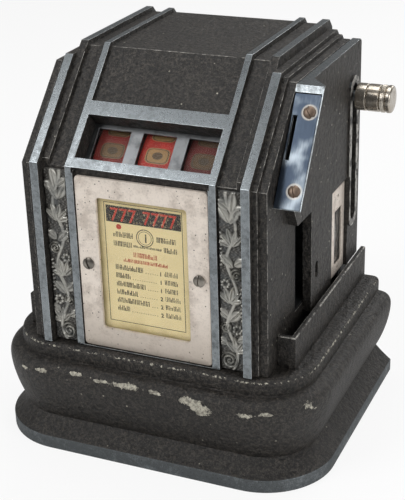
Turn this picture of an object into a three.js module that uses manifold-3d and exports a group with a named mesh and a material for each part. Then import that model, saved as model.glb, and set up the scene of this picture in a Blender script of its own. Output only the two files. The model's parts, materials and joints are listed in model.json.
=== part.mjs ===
// Counter-top three-reel coin machine: cast base and case, vertical push handle, side coin head.
// Units are millimetres. +X is to the right of a person facing the machine, +Y is to its back, +Z is up.
// The origin is the centre of the foot, on the surface that the machine stands on.
import * as THREE from 'three';
import { mergeVertices } from 'three/addons/utils/BufferGeometryUtils.js';
import Module from 'manifold-3d';

const wasm = await Module();
wasm.setup();

// ---- Driving dimensions ----------------------------------------------------------------------
const GAP = 0.3; // clearance between neighbouring pieces
const DEG = Math.PI / 180;

// Base casting: a moulded foot with rounded front corners and a flat back
const FOOT_HALF_WIDTH = 83.6;
const FOOT_HALF_DEPTH = 65.7;
const FOOT_CORNER = 34;
const RIM_HEIGHT = 6.6;
const NECK = { inset: 8.2, z: 13.9 };
const BELLY = { inset: 1.0, z: 39.6 };
const SHOULDER = { inset: 7.6, z: 46.1 };
const DECK_TOP = 53.9;
const DECK_THICK = 3.6;
const DECK_INSET = 11;
const BASE_WALL = 3.2;
const BASE_BACK_WALL = 4;
const PLATE_REBATE = { inset: 8.3, depth: 2.9, fromBack: 2 };
const BASE_PLATE_THICK = 1.4;
const PLATE_SCREW = { at: [[-61, -43], [61, -43], [-67, 55], [67, 55]], post: 5, hole: 1.6, deep: 14 };
const FENCE = { outer: 68, wall: 2.4, top: 69.9, front: -41.8 };

// Case casting: ribs side by side, each with its own front, 45 degree slope (z - y) and top
const SUNK_PANEL = { to: 33.4, front: -54.2, slope: 194.7, top: 186.2 };
const INNER_TRIM = { to: 36.3, front: -54.2, slope: 197.5, top: 188.2 };
const FLUTE = { to: 45.1, front: -51.9, slope: 194.0, top: 185.8 };
const RIDGE = { to: 48.7, front: -51.9, slope: 197.1, top: 188.2 };
const OUTER_TRIM = { to: 52.7, front: -56.8, slope: 201.1, top: 183.6 };
const STEP = { to: 55.2, front: -54.3, slope: 197.1, top: 181.4 };
const SIDE = { to: 59.1, front: -52.8, slope: 194.9, top: 179.5 };
const CASE_BOTTOM = DECK_TOP + GAP;
const CASE_BACK = 65.1;
const BACK_CHAMFER = 4.4;
const WALL = 3.1;
const INNER = { front: -47, slope: 189, side: SIDE.to - WALL, back: 58.7 };
const CEILING = { middle: 182.2, side: 176.2, middleHalf: 46 };
const LUG = { inner: 46, x: 51.5, front: -42.2, back: 55.5, height: 7.8 };
const CASE_BOLT = { r: 1.6, hole: 1.9, head: 3.4, headHeight: 3 };

// Reel window on the slope
const WINDOW = { halfWidth: 32.7, halfHeight: 10.8, aboveKink: 4.9, depth: 9.2 };
const WINDOW_FRAME_TOP = 7; // how far the plain frame reaches above the window
const MASK_SEAT = 2;
const MASK_THICK = 1.2;
const MASK_OPENING = 16.2;
const COLLAR_WALL = 2.3;

// Award plate in the front
const AWARD = { halfWidth: 32.4, low: 54.9, high: 139.3, thick: 1.4 };
const AWARD_POCKET_TOP = 142;
const AWARD_SUNK = 0.5;
const AWARD_WINDOW = { halfWidth: 22, low: 65.1, high: 129.8 };
const CARD_MARGIN = 3;
const CARD_THICK = 0.6;
const GLASS_THICK = 1;
const AWARD_SCREW = { x: 27.5, z: 97.1, head: 2.8, shank: 1.2, length: 6 };
const ORNAMENT_TOP = 141;
const ORNAMENT_THICK = 1.8;

// Reels and their shaft
const REEL_RADIUS = 36;
const REEL_PITCH = 22.4;
const REEL_HALF = 8.5;
const GLASS_TO_REEL = 0.9;
const REEL_STOPS = 20;
const STRIP_THICK = 0.6;
const SHAFT_R = 3;
const STAR = { tip: 15, root: 12.9, thick: 1.8 };
const REEL_SIDES = 28;

// Mechanism frame
const FRAME_HALF = 35.2;
const FRAME_THICK = 1.6;
const FRAME_FOOT = 6;
const FRAME_DEPTH = { front: -28, back: 31, slantFrom: 96 };
const FRAME_SCREW = { y: [-22, 25], hole: 1.6 };
const TIE_RODS = [[-24, 72], [27, 72]];
const PAWL_SHAFT = { reach: 42, angle: 38 * DEG, r: 2 };
const PAWL_SWING = 5 * DEG;
const PAWL_ANGLE = 80 * DEG;

// Handle, rack and sector
const HANDLE = { y: 52.8, z: 154, travel: 59.5, spindle: 2.6 };
const KNOB = { from: 66, to: 83.4, r: 6.6, round: 0.8, bore: 9.5, grooves: [5.4, 11.8, 14.6], groove: 0.9 };
const HANDLE_SLOT = { halfWidth: 3.6, low: 90.2, high: 160.6, bead: 3.6, proud: 1 };
const SECTOR_TEETH = 60;
const RACK_LINE = 44.9;
const RACK = { low: 40, high: 44, back: 50.3, above: 1.5, below: 3.5 };
const GUIDE_ROD = { x: 49, y: 46.6, r: 2 };
const CARRIAGE = { width: [44.3, 53.7], depth: [42.6, 58.2], height: 16 };
const SPRING = { r: 3.6, wire: 0.6, turns: 10 };

// Side casing and coin head
const CASING = { face: 63.6, top: 179.3, low: 66.6, front: -7.8, bib: [-26.8, 117.7] };
const HEAD = { side: 72.2, low: 133.6, lip: 1.2, flare: [63.8, 9.6] };
const HEAD_POINT = { x: 65.5, y: -33.3, z: 155.1 };
const HEAD_LEAN = Math.atan(0.6692);
const COIN_PLATE = { halfWidth: 5.9, halfLength: 25.4, thick: 1.2, sunk: 0.5 };
const COIN_SLOT = { x: [-5.2, -3.2], middle: 5.7, length: 19.8 };
const COIN_SCREW = { x: 1.9, y: 17.4, head: 2.7, shank: 1.3, length: 7 };
const RACE_WIDTH = 20.2;
const RACE_FACE = 62.3;
const SIDE_SLOT = { y: 0, z: [80.8, 89.3], halfWidth: 2 };
const SIDE_WINDOW = { y: [22.5, 47.3], z: [63.5, 114.5] };
const SIDE_FRAME = { y: [26, 47], z: [67, 112], x: [60.9, 61.9] };
const SIDE_FRAME_OPENING = { y: [32, 43], z: [72, 101] };
const SIDE_FRAME_HOLES = { y: 37, z: [69.5, 108], r: 0.9 };
const SIDE_GLASS_THICK = 0.8;
const COIN_GUIDE = { x: 54.9, y: [26.8, 47.8], z: [60, 126], wall: 0.8 };
const COIN_DROP = { x: [54, 59], y: [27, 47.5] };
const RETURN_CAVITY = { y: [-17.8, 8], z: [70.2, 116.6], depth: 47.2, wall: 0.9 };
const CASING_SCREWS = { at: [[-2, 171.5], [56, 171], [56, 73], [13, 77]], hole: 1.7 };

// Back door, hinge and lock
const DOOR = { halfWidth: 46.7, low: 61.3, high: 171.7, thick: 1.5, ledge: 3.5 };
const DOOR_FACE = 62;
const DOORWAY_LOW = 57; // how far down the recess round the door reaches
const HINGE = { r: 1.5, pin: 0.8, z: [85, 150], leaf: 1, caseWidth: 7.6, doorWidth: 8.6 };
const LOCK = { fromEdge: 13.7, z: 76, body: 5.5, flange: 1.3, plug: 3.2, cam: 17, camHalf: 5, camThick: 1.7 };

// ---- Solids ----------------------------------------------------------------------------------
// Turns a closed three.js geometry into a solid, with its faces pointing out
function solid(geometry, place) {
  if (place) geometry.applyMatrix4(place);
  geometry.deleteAttribute('normal');
  geometry.deleteAttribute('uv');
  const merged = mergeVertices(geometry, 1e-4);
  const points = merged.attributes.position.array;
  const index = merged.index.array;
  const faces = [];
  let volume = 0;
  const [a, b, c] = [new THREE.Vector3(), new THREE.Vector3(), new THREE.Vector3()];
  for (let i = 0; i < index.length; i += 3) {
    const [p, q, r] = [index[i], index[i + 1], index[i + 2]];
    if (p === q || q === r || r === p) continue;
    faces.push(p, q, r);
    volume += a.fromArray(points, 3 * p).dot(b.fromArray(points, 3 * q).cross(c.fromArray(points, 3 * r)));
  }
  if (volume < 0) faces.reverse();
  const data = { numProp: 3, vertProperties: new Float32Array(points), triVerts: new Uint32Array(faces) };
  return new wasm.Manifold(new wasm.Mesh(data));
}

function geometryOf(body) {
  const mesh = body.getMesh();
  const geometry = new THREE.BufferGeometry();
  geometry.setAttribute('position', new THREE.BufferAttribute(new Float32Array(mesh.vertProperties), 3));
  geometry.setIndex(new THREE.BufferAttribute(new Uint32Array(mesh.triVerts), 1));
  return geometry;
}

const join = (...bodies) => bodies.flat().reduce((whole, body) => whole.add(body));
const cut = (body, ...tools) => tools.flat().reduce((rest, tool) => rest.subtract(tool), body);

function box(x, y, z, place) {
  const geometry = new THREE.BoxGeometry(x[1] - x[0], y[1] - y[0], z[1] - z[0]);
  geometry.translate((x[0] + x[1]) / 2, (y[0] + y[1]) / 2, (z[0] + z[1]) / 2);
  return solid(geometry, place);
}

// Turns that stand a shape drawn in XY, or a body built along Y, along the named axis
const [UNIT_X, UNIT_Y, UNIT_Z] = [[1, 0, 0], [0, 1, 0], [0, 0, 1]].map((v) => new THREE.Vector3(...v));
const DRAWN_IN_YZ = new THREE.Matrix4().makeBasis(UNIT_Y, UNIT_Z, UNIT_X);
const ALONG = {
  x: new THREE.Matrix4().makeBasis(UNIT_Y, UNIT_X, UNIT_Z.clone().negate()),
  y: new THREE.Matrix4(),
  z: new THREE.Matrix4().makeBasis(UNIT_Y, UNIT_Z, UNIT_X),
};

// The point at `along` on the axis through (u, v), its other two coordinates in X, Y, Z order
function onAxis(axis, along, [u, v]) {
  if (axis === 'x') return new THREE.Vector3(along, u, v);
  if (axis === 'y') return new THREE.Vector3(u, along, v);
  return new THREE.Vector3(u, v, along);
}

function rod(axis, [low, high], centre, radius, sides = 16, place) {
  const geometry = new THREE.CylinderGeometry(radius, radius, high - low, sides);
  geometry.applyMatrix4(ALONG[axis]);
  geometry.translate(...onAxis(axis, (low + high) / 2, centre));
  return solid(geometry, place);
}

const ring = (axis, span, centre, outer, inner, sides = 16) =>
  rod(axis, span, centre, outer, sides).subtract(rod(axis, [span[0] - 1, span[1] + 1], centre, inner, sides));

// A closed outline of [radius, distance along] points turned about an axis
function turned(axis, outline, centre, sides = REEL_SIDES) {
  const points = outline.map(([r, along]) => new THREE.Vector2(r, along));
  const onTheAxis = outline[0][0] === 0 && outline.at(-1)[0] === 0;
  if (!onTheAxis) points.push(points[0].clone());
  const geometry = new THREE.LatheGeometry(points, sides);
  geometry.applyMatrix4(ALONG[axis]);
  geometry.translate(...onAxis(axis, 0, centre));
  return solid(geometry);
}

// A flat outline drawn in the YZ plane and given a thickness along X
function slab(outline, [low, high], place) {
  const shape = new THREE.Shape(outline.map(([u, v]) => new THREE.Vector2(u, v)));
  const geometry = new THREE.ExtrudeGeometry(shape, { depth: high - low, bevelEnabled: false });
  geometry.applyMatrix4(DRAWN_IN_YZ);
  geometry.translate(low, 0, 0);
  return solid(geometry, place);
}

// A solid through level rings of equally many [x, y, z] points, closed flat at both ends
function loft(rings) {
  const count = rings[0].length;
  const index = [];
  const flat = rings[0].map(([x, y]) => new THREE.Vector2(x, y));
  const last = (rings.length - 1) * count;
  for (const [p, q, r] of THREE.ShapeUtils.triangulateShape(flat, [])) {
    index.push(r, q, p, last + p, last + q, last + r);
  }
  for (let i = 0; i < rings.length - 1; i += 1) {
    for (let j = 0; j < count; j += 1) {
      const next = (j + 1) % count;
      const [a, b] = [i * count + j, i * count + next];
      index.push(a, b, b + count, a, b + count, a + count);
    }
  }
  const geometry = new THREE.BufferGeometry();
  geometry.setAttribute('position', new THREE.Float32BufferAttribute(rings.flat(2), 3));
  geometry.setIndex(index);
  return solid(geometry);
}

// An upright slot with round ends, cut along X
function roundSlot(x, yMiddle, [low, high], halfWidth) {
  const middle = [low + halfWidth, high - halfWidth];
  return join(
    box(x, [yMiddle - halfWidth, yMiddle + halfWidth], middle),
    middle.map((z) => rod('x', x, [yMiddle, z], halfWidth)),
  );
}

// A round-headed screw with a driver slot; its head's underside is at `seat` on the axis
function screw(axis, seat, direction, centre, head, shank, length, place) {
  const headHeight = head * 0.45;
  const slotHalf = head * 0.13;
  const span = (from, to) => [seat + direction * from, seat + direction * to].sort((p, q) => p - q);
  const outline = [
    [0, 0], [head, 0], [head * 0.96, headHeight * 0.5], [head * 0.62, headHeight], [0, headHeight],
  ];
  const points = outline.map(([r, along]) => new THREE.Vector2(r, direction * along));
  const dome = new THREE.LatheGeometry(points, 16);
  dome.applyMatrix4(ALONG[axis]);
  dome.translate(...onAxis(axis, seat, centre));
  const across = [-head, head];
  const slotSpans = { [axis]: span(headHeight * 0.5, headHeight * 2) };
  const [first, second] = ['x', 'y', 'z'].filter((name) => name !== axis);
  slotSpans[first] = [centre[0] - slotHalf, centre[0] + slotHalf];
  slotSpans[second] = across.map((v) => centre[1] + v);
  const body = rod(axis, span(-length, headHeight * 0.2), centre, shank, 12, place);
  return solid(dome, place).add(body).subtract(box(slotSpans.x, slotSpans.y, slotSpans.z, place));
}

// ---- Finishes --------------------------------------------------------------------------------
const finish = (color, roughness, metalness) =>
  new THREE.MeshStandardMaterial({ color, roughness, metalness });
const FINISH = {
  crackle: () => finish(0x332e2a, 0.75, 0.1),
  aluminium: () => finish(0x9fa5ab, 0.4, 0.9),
  nickel: () => finish(0xd8d2cc, 0.25, 0.9),
  steel: () => finish(0x8b939b, 0.35, 0.9),
  brass: () => finish(0xb08a4a, 0.35, 0.9),
  card: () => finish(0xe6d9a8, 0.8, 0),
  glass: () => finish(0xe8efee, 0.05, 0),
  reel: () => finish(0xb3261b, 0.6, 0),
};

const machine = new THREE.Group();
function piece(name, body, material) {
  const mesh = new THREE.Mesh(geometryOf(body), FINISH[material]());
  mesh.name = name;
  machine.add(mesh);
}

const bothSides = (make) => [-1, 1].map((side) => make(side));
const spanOn = (side, from, to) => [side * from, side * to].sort((p, q) => p - q);

// ---- Base ------------------------------------------------------------------------------------
// The foot's plan, drawn in by `inset` at the front and the sides
function footRing(inset, z, back = FOOT_HALF_DEPTH) {
  const [cx, cy] = [FOOT_HALF_WIDTH - FOOT_CORNER, FOOT_CORNER - FOOT_HALF_DEPTH];
  const radius = FOOT_CORNER - inset;
  const steps = 6;
  const points = [[-cx - radius, back, z]];
  for (const [side, start] of [[-1, 180], [1, 270]]) {
    for (let i = 0; i <= steps; i += 1) {
      const angle = (start + (90 * i) / steps) * DEG;
      points.push([side * cx + radius * Math.cos(angle), cy + radius * Math.sin(angle), z]);
    }
  }
  points.push([cx + radius, back, z]);
  return points;
}

const moulding = new THREE.Path();
moulding.moveTo(0, 0);
moulding.lineTo(0, RIM_HEIGHT);
moulding.quadraticCurveTo(NECK.inset / 2, RIM_HEIGHT + 2.9, NECK.inset, NECK.z);
moulding.bezierCurveTo(3.9, NECK.z + 8.1, BELLY.inset, BELLY.z - 6.6, BELLY.inset, BELLY.z);
moulding.quadraticCurveTo(BELLY.inset, SHOULDER.z - 0.2, SHOULDER.inset, SHOULDER.z);
moulding.lineTo(SHOULDER.inset + 0.2, DECK_TOP - 2.9);
moulding.quadraticCurveTo(SHOULDER.inset + 0.3, DECK_TOP - 0.1, DECK_INSET, DECK_TOP);

const cavityInset = NECK.inset + BASE_WALL;
const cavityBack = FOOT_HALF_DEPTH - BASE_BACK_WALL;
const deckUnderside = DECK_TOP - DECK_THICK;
const rebateBack = FOOT_HALF_DEPTH - PLATE_REBATE.fromBack;
const plateBack = rebateBack - GAP;
const fenceInner = FENCE.outer - FENCE.wall;
const caseBolts = bothSides((side) => [[side * LUG.x, LUG.front], [side * LUG.x, LUG.back]]).flat();

const baseShell = cut(
  loft(moulding.getPoints(4).map((point) => footRing(point.x, point.y))),
  loft([-1, PLATE_REBATE.depth].map((z) => footRing(PLATE_REBATE.inset, z, rebateBack))),
  loft([1, deckUnderside].map((z) => footRing(cavityInset, z, cavityBack))),
);
const fenceZ = [DECK_TOP - 1, FENCE.top];
const fences = bothSides((side) => [
  box(spanOn(side, fenceInner, FENCE.outer), [FENCE.front, FOOT_HALF_DEPTH], fenceZ),
  box(spanOn(side, SIDE.to + GAP, FENCE.outer), [FENCE.front, FENCE.front + FENCE.wall], fenceZ),
]).flat();
piece('base_casting', cut(
  join(
    baseShell,
    fences,
    PLATE_SCREW.at.map((at) => rod('z', [PLATE_REBATE.depth, deckUnderside + 1], at, PLATE_SCREW.post, 12)),
  ),
  PLATE_SCREW.at.map((at) => rod('z', [0, PLATE_SCREW.deep], at, PLATE_SCREW.hole, 12)),
  caseBolts.map((at) => rod('z', [deckUnderside - 5, DECK_TOP + 1], at, CASE_BOLT.hole, 12)),
  box(COIN_DROP.x, COIN_DROP.y, [deckUnderside - 1, DECK_TOP + 1]),
), 'crackle');

const plateZ = [PLATE_REBATE.depth - GAP - BASE_PLATE_THICK, PLATE_REBATE.depth - GAP];
piece('base_plate', cut(
  loft(plateZ.map((z) => footRing(PLATE_REBATE.inset + GAP, z, plateBack))),
  PLATE_SCREW.at.map((at) => rod('z', [plateZ[0] - 1, plateZ[1] + 1], at, PLATE_SCREW.hole, 12)),
), 'steel');

const boltSeat = deckUnderside - GAP;
const boltNames = ['front_left', 'back_left', 'front_right', 'back_right'];
caseBolts.forEach((at, i) => piece(`case_bolt_${boltNames[i]}`, join(
  rod('z', [boltSeat - CASE_BOLT.headHeight, boltSeat], at, CASE_BOLT.head, 6),
  rod('z', [boltSeat, CASE_BOTTOM + LUG.height - 1.5], at, CASE_BOLT.r, 12),
), 'steel'));

// ---- Case ------------------------------------------------------------------------------------
const RIBS = [SUNK_PANEL, INNER_TRIM, FLUTE, RIDGE, OUTER_TRIM, STEP, SIDE];

// The side view of one rib: bottom, front, slope, top and chamfered back
function ribOutline({ front, slope, top }) {
  return [
    [front, CASE_BOTTOM], [front, slope + front], [top - slope, top],
    [CASE_BACK - BACK_CHAMFER, top], [CASE_BACK, top - BACK_CHAMFER], [CASE_BACK, CASE_BOTTOM],
  ];
}

const ribSolids = RIBS.flatMap((rib, i) => {
  const inner = i === 0 ? -rib.to : RIBS[i - 1].to;
  if (i === 0) return [slab(ribOutline(rib), [inner, rib.to])];
  return bothSides((side) => slab(ribOutline(rib), spanOn(side, inner, rib.to)));
});

// Frame of the slope: X across, Y up the slope, Z out of it, at the middle of the reel window
const kink = { y: INNER_TRIM.front, z: INNER_TRIM.slope + INNER_TRIM.front };
const slopeUp = new THREE.Vector3(0, Math.SQRT1_2, Math.SQRT1_2);
const slopeOut = new THREE.Vector3(0, -Math.SQRT1_2, Math.SQRT1_2);
const windowMiddle = WINDOW.aboveKink + WINDOW.halfHeight;
const windowCentre = new THREE.Vector3(0, kink.y, kink.z).addScaledVector(slopeUp, windowMiddle);
const ON_SLOPE = new THREE.Matrix4().makeBasis(UNIT_X, slopeUp, slopeOut).setPosition(windowCentre);

const around = (half) => [-half, half];
const maskSeat = { x: WINDOW.halfWidth + MASK_SEAT, y: WINDOW.halfHeight + MASK_SEAT };
const collar = { x: maskSeat.x + COLLAR_WALL, y: maskSeat.y + COLLAR_WALL };
const maskBack = WINDOW.depth + GAP + MASK_THICK;
const collarEnd = maskBack + GAP + GLASS_THICK + 0.4;
const slopeThick = (INNER_TRIM.slope - SUNK_PANEL.slope) * Math.SQRT1_2;

// The reels stand just behind the window's glass. The rack reaches up from their shaft by the handle's travel
const windowGlassBack = maskBack + GAP + GLASS_THICK;
const reelDepth = windowGlassBack + GLASS_TO_REEL + REEL_RADIUS;
const reelCentre = windowCentre.clone().addScaledVector(slopeOut, -reelDepth);
const REEL_AT = [reelCentre.y, reelCentre.z];
const rackTop = REEL_AT[1] + HANDLE.travel + RACK.above;

const windowBlock = join(
  box(
    around(SUNK_PANEL.to), [-windowMiddle, WINDOW.halfHeight + WINDOW_FRAME_TOP],
    [-slopeThick - 1, 0], ON_SLOPE,
  ),
  box(around(collar.x), around(collar.y), [-collarEnd, -3], ON_SLOPE),
);

const inside = ([low, high], margin) => [low + margin, high - margin];
const innerOutline = (ceiling) => [
  [INNER.front, CASE_BOTTOM - 1], [INNER.front, INNER.slope + INNER.front],
  [ceiling - INNER.slope, ceiling], [INNER.back, ceiling], [INNER.back, CASE_BOTTOM - 1],
];
const hollow = join(
  slab(innerOutline(CEILING.middle), around(CEILING.middleHalf)),
  slab(innerOutline(CEILING.side), around(INNER.side)),
  box([RACK.low - GAP, RACK.high + GAP], [RACK_LINE - 3, RACK.back + GAP], [REEL_AT[1], rackTop + GAP]),
);
const lugZ = [CASE_BOTTOM, CASE_BOTTOM + LUG.height];
const lugs = bothSides((side) => [
  box(spanOn(side, LUG.inner, INNER.side + 1), [INNER.front - 1, LUG.front + 5], lugZ),
  box(spanOn(side, LUG.inner, INNER.side + 1), [LUG.back - 3, INNER.back + 1], lugZ),
]).flat();

const doorHole = DOOR.halfWidth + GAP;
const doorHoleZ = [DOOR.low - GAP, DOOR.high + GAP];
const ledgeHole = doorHole - DOOR.ledge;
const ledgeHoleZ = [doorHoleZ[0] + DOOR.ledge, doorHoleZ[1] - DOOR.ledge];
const ledgeFace = DOOR_FACE - DOOR.thick - GAP;
const sideWall = [INNER.side - 1, SIDE.to + 1];
const screwHole = AWARD_SCREW.shank + GAP;
const awardScrews = bothSides((side) => [side * AWARD_SCREW.x, AWARD_SCREW.z]);
const awardFront = SUNK_PANEL.front + AWARD_SUNK;
const awardBack = awardFront + AWARD.thick;
const glassFront = awardBack + GAP;
const cardFront = glassFront + GLASS_THICK + GAP;
const cardFloor = cardFront + CARD_THICK + GAP;
const card = {
  halfWidth: AWARD_WINDOW.halfWidth + CARD_MARGIN,
  low: AWARD_WINDOW.low - CARD_MARGIN,
  high: AWARD_WINDOW.high + CARD_MARGIN,
};
const ornamentBack = FLUTE.front - GAP;

piece('case_casting', cut(
  join(cut(join(ribSolids), hollow), windowBlock, lugs),
  // reel window, the seat behind it, the award plate's pocket and the card's pocket
  box(around(WINDOW.halfWidth), around(WINDOW.halfHeight), [-WINDOW.depth - 1, 5], ON_SLOPE),
  box(around(maskSeat.x), around(maskSeat.y), [-25, -WINDOW.depth], ON_SLOPE),
  box(
    around(AWARD.halfWidth + GAP), [SUNK_PANEL.front - 1, awardBack + GAP],
    [AWARD.low - GAP, AWARD_POCKET_TOP],
  ),
  box(around(card.halfWidth + GAP), [SUNK_PANEL.front, cardFloor], [card.low - GAP, card.high + GAP]),
  awardScrews.map((at) => rod('y', [awardFront, INNER.front + 1], at, screwHole, 12)),
  // doorway at the back
  box(around(INNER.side), [DOOR_FACE, CASE_BACK + 1], [DOORWAY_LOW, CEILING.side]),
  box(around(doorHole), [ledgeFace, CASE_BACK], doorHoleZ),
  box(around(ledgeHole), [INNER.back - 1, CASE_BACK], ledgeHoleZ),
  // right wall: handle slot, coin guide behind the side window, coin return, screws of the side casing
  roundSlot(sideWall, HANDLE.y, [HANDLE_SLOT.low, HANDLE_SLOT.high], HANDLE_SLOT.halfWidth),
  box(sideWall, [COIN_GUIDE.y[0] - GAP, COIN_GUIDE.y[1] + GAP], [CASE_BOTTOM - 1, COIN_GUIDE.z[1] + 2]),
  box(sideWall, RETURN_CAVITY.y, RETURN_CAVITY.z),
  CASING_SCREWS.at.map((at) => rod('x', sideWall, at, CASING_SCREWS.hole, 12)),
  caseBolts.map((at) => rod('z', [CASE_BOTTOM - 1, CASE_BOTTOM + LUG.height - 1], at, CASE_BOLT.hole, 12)),
), 'crackle');

for (const [side, name] of [[-1, 'left'], [1, 'right']]) {
  piece(`ornament_panel_${name}`, box(
    spanOn(side, INNER_TRIM.to + GAP, RIDGE.to - GAP),
    [ornamentBack - ORNAMENT_THICK, ornamentBack],
    [CASE_BOTTOM + GAP, ORNAMENT_TOP],
  ), 'aluminium');
}

// ---- Award plate, its glass and card -----------------------------------------------------------
piece('award_plate', cut(
  box(around(AWARD.halfWidth), [awardFront, awardBack], [AWARD.low, AWARD.high]),
  box(around(AWARD_WINDOW.halfWidth), [awardFront - 1, awardBack + 1], [AWARD_WINDOW.low, AWARD_WINDOW.high]),
  awardScrews.map((at) => rod('y', [awardFront - 1, awardBack + 1], at, screwHole, 12)),
), 'nickel');
for (const [i, name] of ['left', 'right'].entries()) {
  piece(`award_screw_${name}`, screw(
    'y', awardFront - GAP, -1, awardScrews[i], AWARD_SCREW.head, AWARD_SCREW.shank, AWARD_SCREW.length,
  ), 'nickel');
}
piece('award_glass', box(
  around(card.halfWidth), [glassFront, glassFront + GLASS_THICK], [card.low, card.high],
), 'glass');
piece('award_card', box(
  around(card.halfWidth), [cardFront, cardFront + CARD_THICK], [card.low, card.high],
), 'card');

// ---- Reel window mask, glass and clips -----------------------------------------------------------
const maskHalf = { x: maskSeat.x - GAP, y: maskSeat.y - GAP };
const reelPlaces = [['left', -REEL_PITCH], ['middle', 0], ['right', REEL_PITCH]];
piece('reel_mask', cut(
  box(around(maskHalf.x), around(maskHalf.y), [-maskBack, -maskBack + MASK_THICK], ON_SLOPE),
  reelPlaces.map(([, x]) => box(
    [x - MASK_OPENING / 2, x + MASK_OPENING / 2], [-WINDOW.halfHeight - 0.6, WINDOW.halfHeight - 2],
    [-maskBack - 1, 0], ON_SLOPE,
  )),
), 'steel');
piece('reel_glass', box(
  around(maskHalf.x), around(maskHalf.y), [-windowGlassBack, -maskBack - GAP], ON_SLOPE,
), 'glass');

// ---- Reels -------------------------------------------------------------------------------------
const polar = ([y, z], radius, angle) => [y + radius * Math.cos(angle), z + radius * Math.sin(angle)];

const drumRim = REEL_RADIUS - STRIP_THICK - GAP;
const rimWall = 1.4;
const webHalf = 0.8;
const hubR = 5.5;
const bore = SHAFT_R + GAP;
const hubOut = REEL_PITCH / 2 - GAP / 2;
const starSpan = [REEL_HALF + GAP, REEL_HALF + GAP + STAR.thick];

function drumOutline(x) {
  return [
    [bore, x - hubOut], [hubR, x - hubOut], [hubR, x - webHalf], [drumRim - rimWall, x - webHalf],
    [drumRim - rimWall, x - REEL_HALF], [drumRim, x - REEL_HALF], [drumRim, x + REEL_HALF],
    [drumRim - rimWall, x + REEL_HALF], [drumRim - rimWall, x + webHalf], [hubR, x + webHalf],
    [hubR, x + REEL_HALF], [bore, x + REEL_HALF],
  ];
}

// Star wheel: one notch per stop, with a notch under the pawl's nose
function starOutline() {
  const step = (360 * DEG) / REEL_STOPS;
  const [tipHalf, rootHalf] = [2.6 * DEG, 4.2 * DEG];
  const points = [];
  for (let i = 0; i < REEL_STOPS; i += 1) {
    const middle = PAWL_ANGLE + (i + 0.5) * step;
    points.push(polar(REEL_AT, STAR.root, middle - rootHalf), polar(REEL_AT, STAR.tip, middle - tipHalf));
    points.push(polar(REEL_AT, STAR.tip, middle + tipHalf), polar(REEL_AT, STAR.root, middle + rootHalf));
  }
  return points;
}

for (const [name, x] of reelPlaces) {
  piece(`reel_drum_${name}`, turned('x', drumOutline(x), REEL_AT), 'steel');
  piece(`reel_strip_${name}`, ring(
    'x', [x - REEL_HALF, x + REEL_HALF], REEL_AT, REEL_RADIUS, REEL_RADIUS - STRIP_THICK, REEL_SIDES,
  ), 'reel');
  piece(`star_wheel_${name}`, cut(
    join(
      slab(starOutline(), starSpan.map((along) => x + along)),
      rod('x', [x + starSpan[0], x + hubOut], REEL_AT, hubR),
    ),
    rod('x', [x, x + hubOut + 1], REEL_AT, bore),
  ), 'brass');
}

// ---- Mechanism frame -----------------------------------------------------------------------------
const frameOuter = FRAME_HALF + FRAME_THICK;
const pawlShaftAt = polar(REEL_AT, PAWL_SHAFT.reach, PAWL_SHAFT.angle);
const frameLow = DECK_TOP + GAP;
const sleeveR = 5.9;
const nutSpan = [frameOuter + GAP, frameOuter + GAP + 2.3];
const frameOutline = [
  [FRAME_DEPTH.front, frameLow], [FRAME_DEPTH.back, frameLow], [FRAME_DEPTH.back, pawlShaftAt[1] + 5],
  [pawlShaftAt[0] - 8, pawlShaftAt[1] + 5], [REEL_AT[0] - 2, REEL_AT[1] + 14],
  [REEL_AT[0] - 14, REEL_AT[1] + 2], [FRAME_DEPTH.front, FRAME_DEPTH.slantFrom],
];
const shoulderR = 2.8;
const tieEnd = 1.9;

for (const [side, name, shaftHole] of [[-1, 'left', bore], [1, 'right', sleeveR + GAP]]) {
  const footSpan = spanOn(side, FRAME_HALF, frameOuter + FRAME_FOOT);
  const wall = spanOn(side, FRAME_HALF, frameOuter);
  const through = spanOn(side, FRAME_HALF - 1, frameOuter + 1);
  piece(`frame_plate_${name}`, cut(
    join(
      slab(frameOutline, wall),
      box(footSpan, [FRAME_DEPTH.front, FRAME_DEPTH.back], [frameLow, frameLow + FRAME_THICK]),
    ),
    rod('x', through, REEL_AT, shaftHole),
    rod('x', through, pawlShaftAt, PAWL_SHAFT.r + GAP, 12),
    TIE_RODS.map((at) => rod('x', through, at, tieEnd + GAP, 12)),
    FRAME_SCREW.y.map((y) => rod(
      'z', [frameLow - 1, frameLow + 3], [side * (frameOuter + FRAME_FOOT / 2), y], FRAME_SCREW.hole, 12,
    )),
  ), 'steel');
}
for (const [i, name] of ['front', 'back'].entries()) {
  piece(`tie_rod_${name}`, join(
    rod('x', around(FRAME_HALF - GAP), TIE_RODS[i], shoulderR, 12),
    rod('x', around(nutSpan[1]), TIE_RODS[i], tieEnd, 12),
    bothSides((side) => rod('x', spanOn(side, ...nutSpan), TIE_RODS[i], shoulderR + 0.8, 6)),
  ), 'steel');
}
piece('reel_shaft', join(
  rod('x', [-nutSpan[1] - 1, 47], REEL_AT, SHAFT_R),
  rod('x', [-nutSpan[1], -nutSpan[0]], REEL_AT, 5, 6),
  rod('x', [44 + GAP, 46.6], REEL_AT, 5, 6),
), 'steel');
piece('pawl_shaft', join(
  rod('x', around(nutSpan[1]), pawlShaftAt, PAWL_SHAFT.r, 12),
  bothSides((side) => rod('x', spanOn(side, ...nutSpan), pawlShaftAt, 3.6, 6)),
), 'steel');

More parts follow.
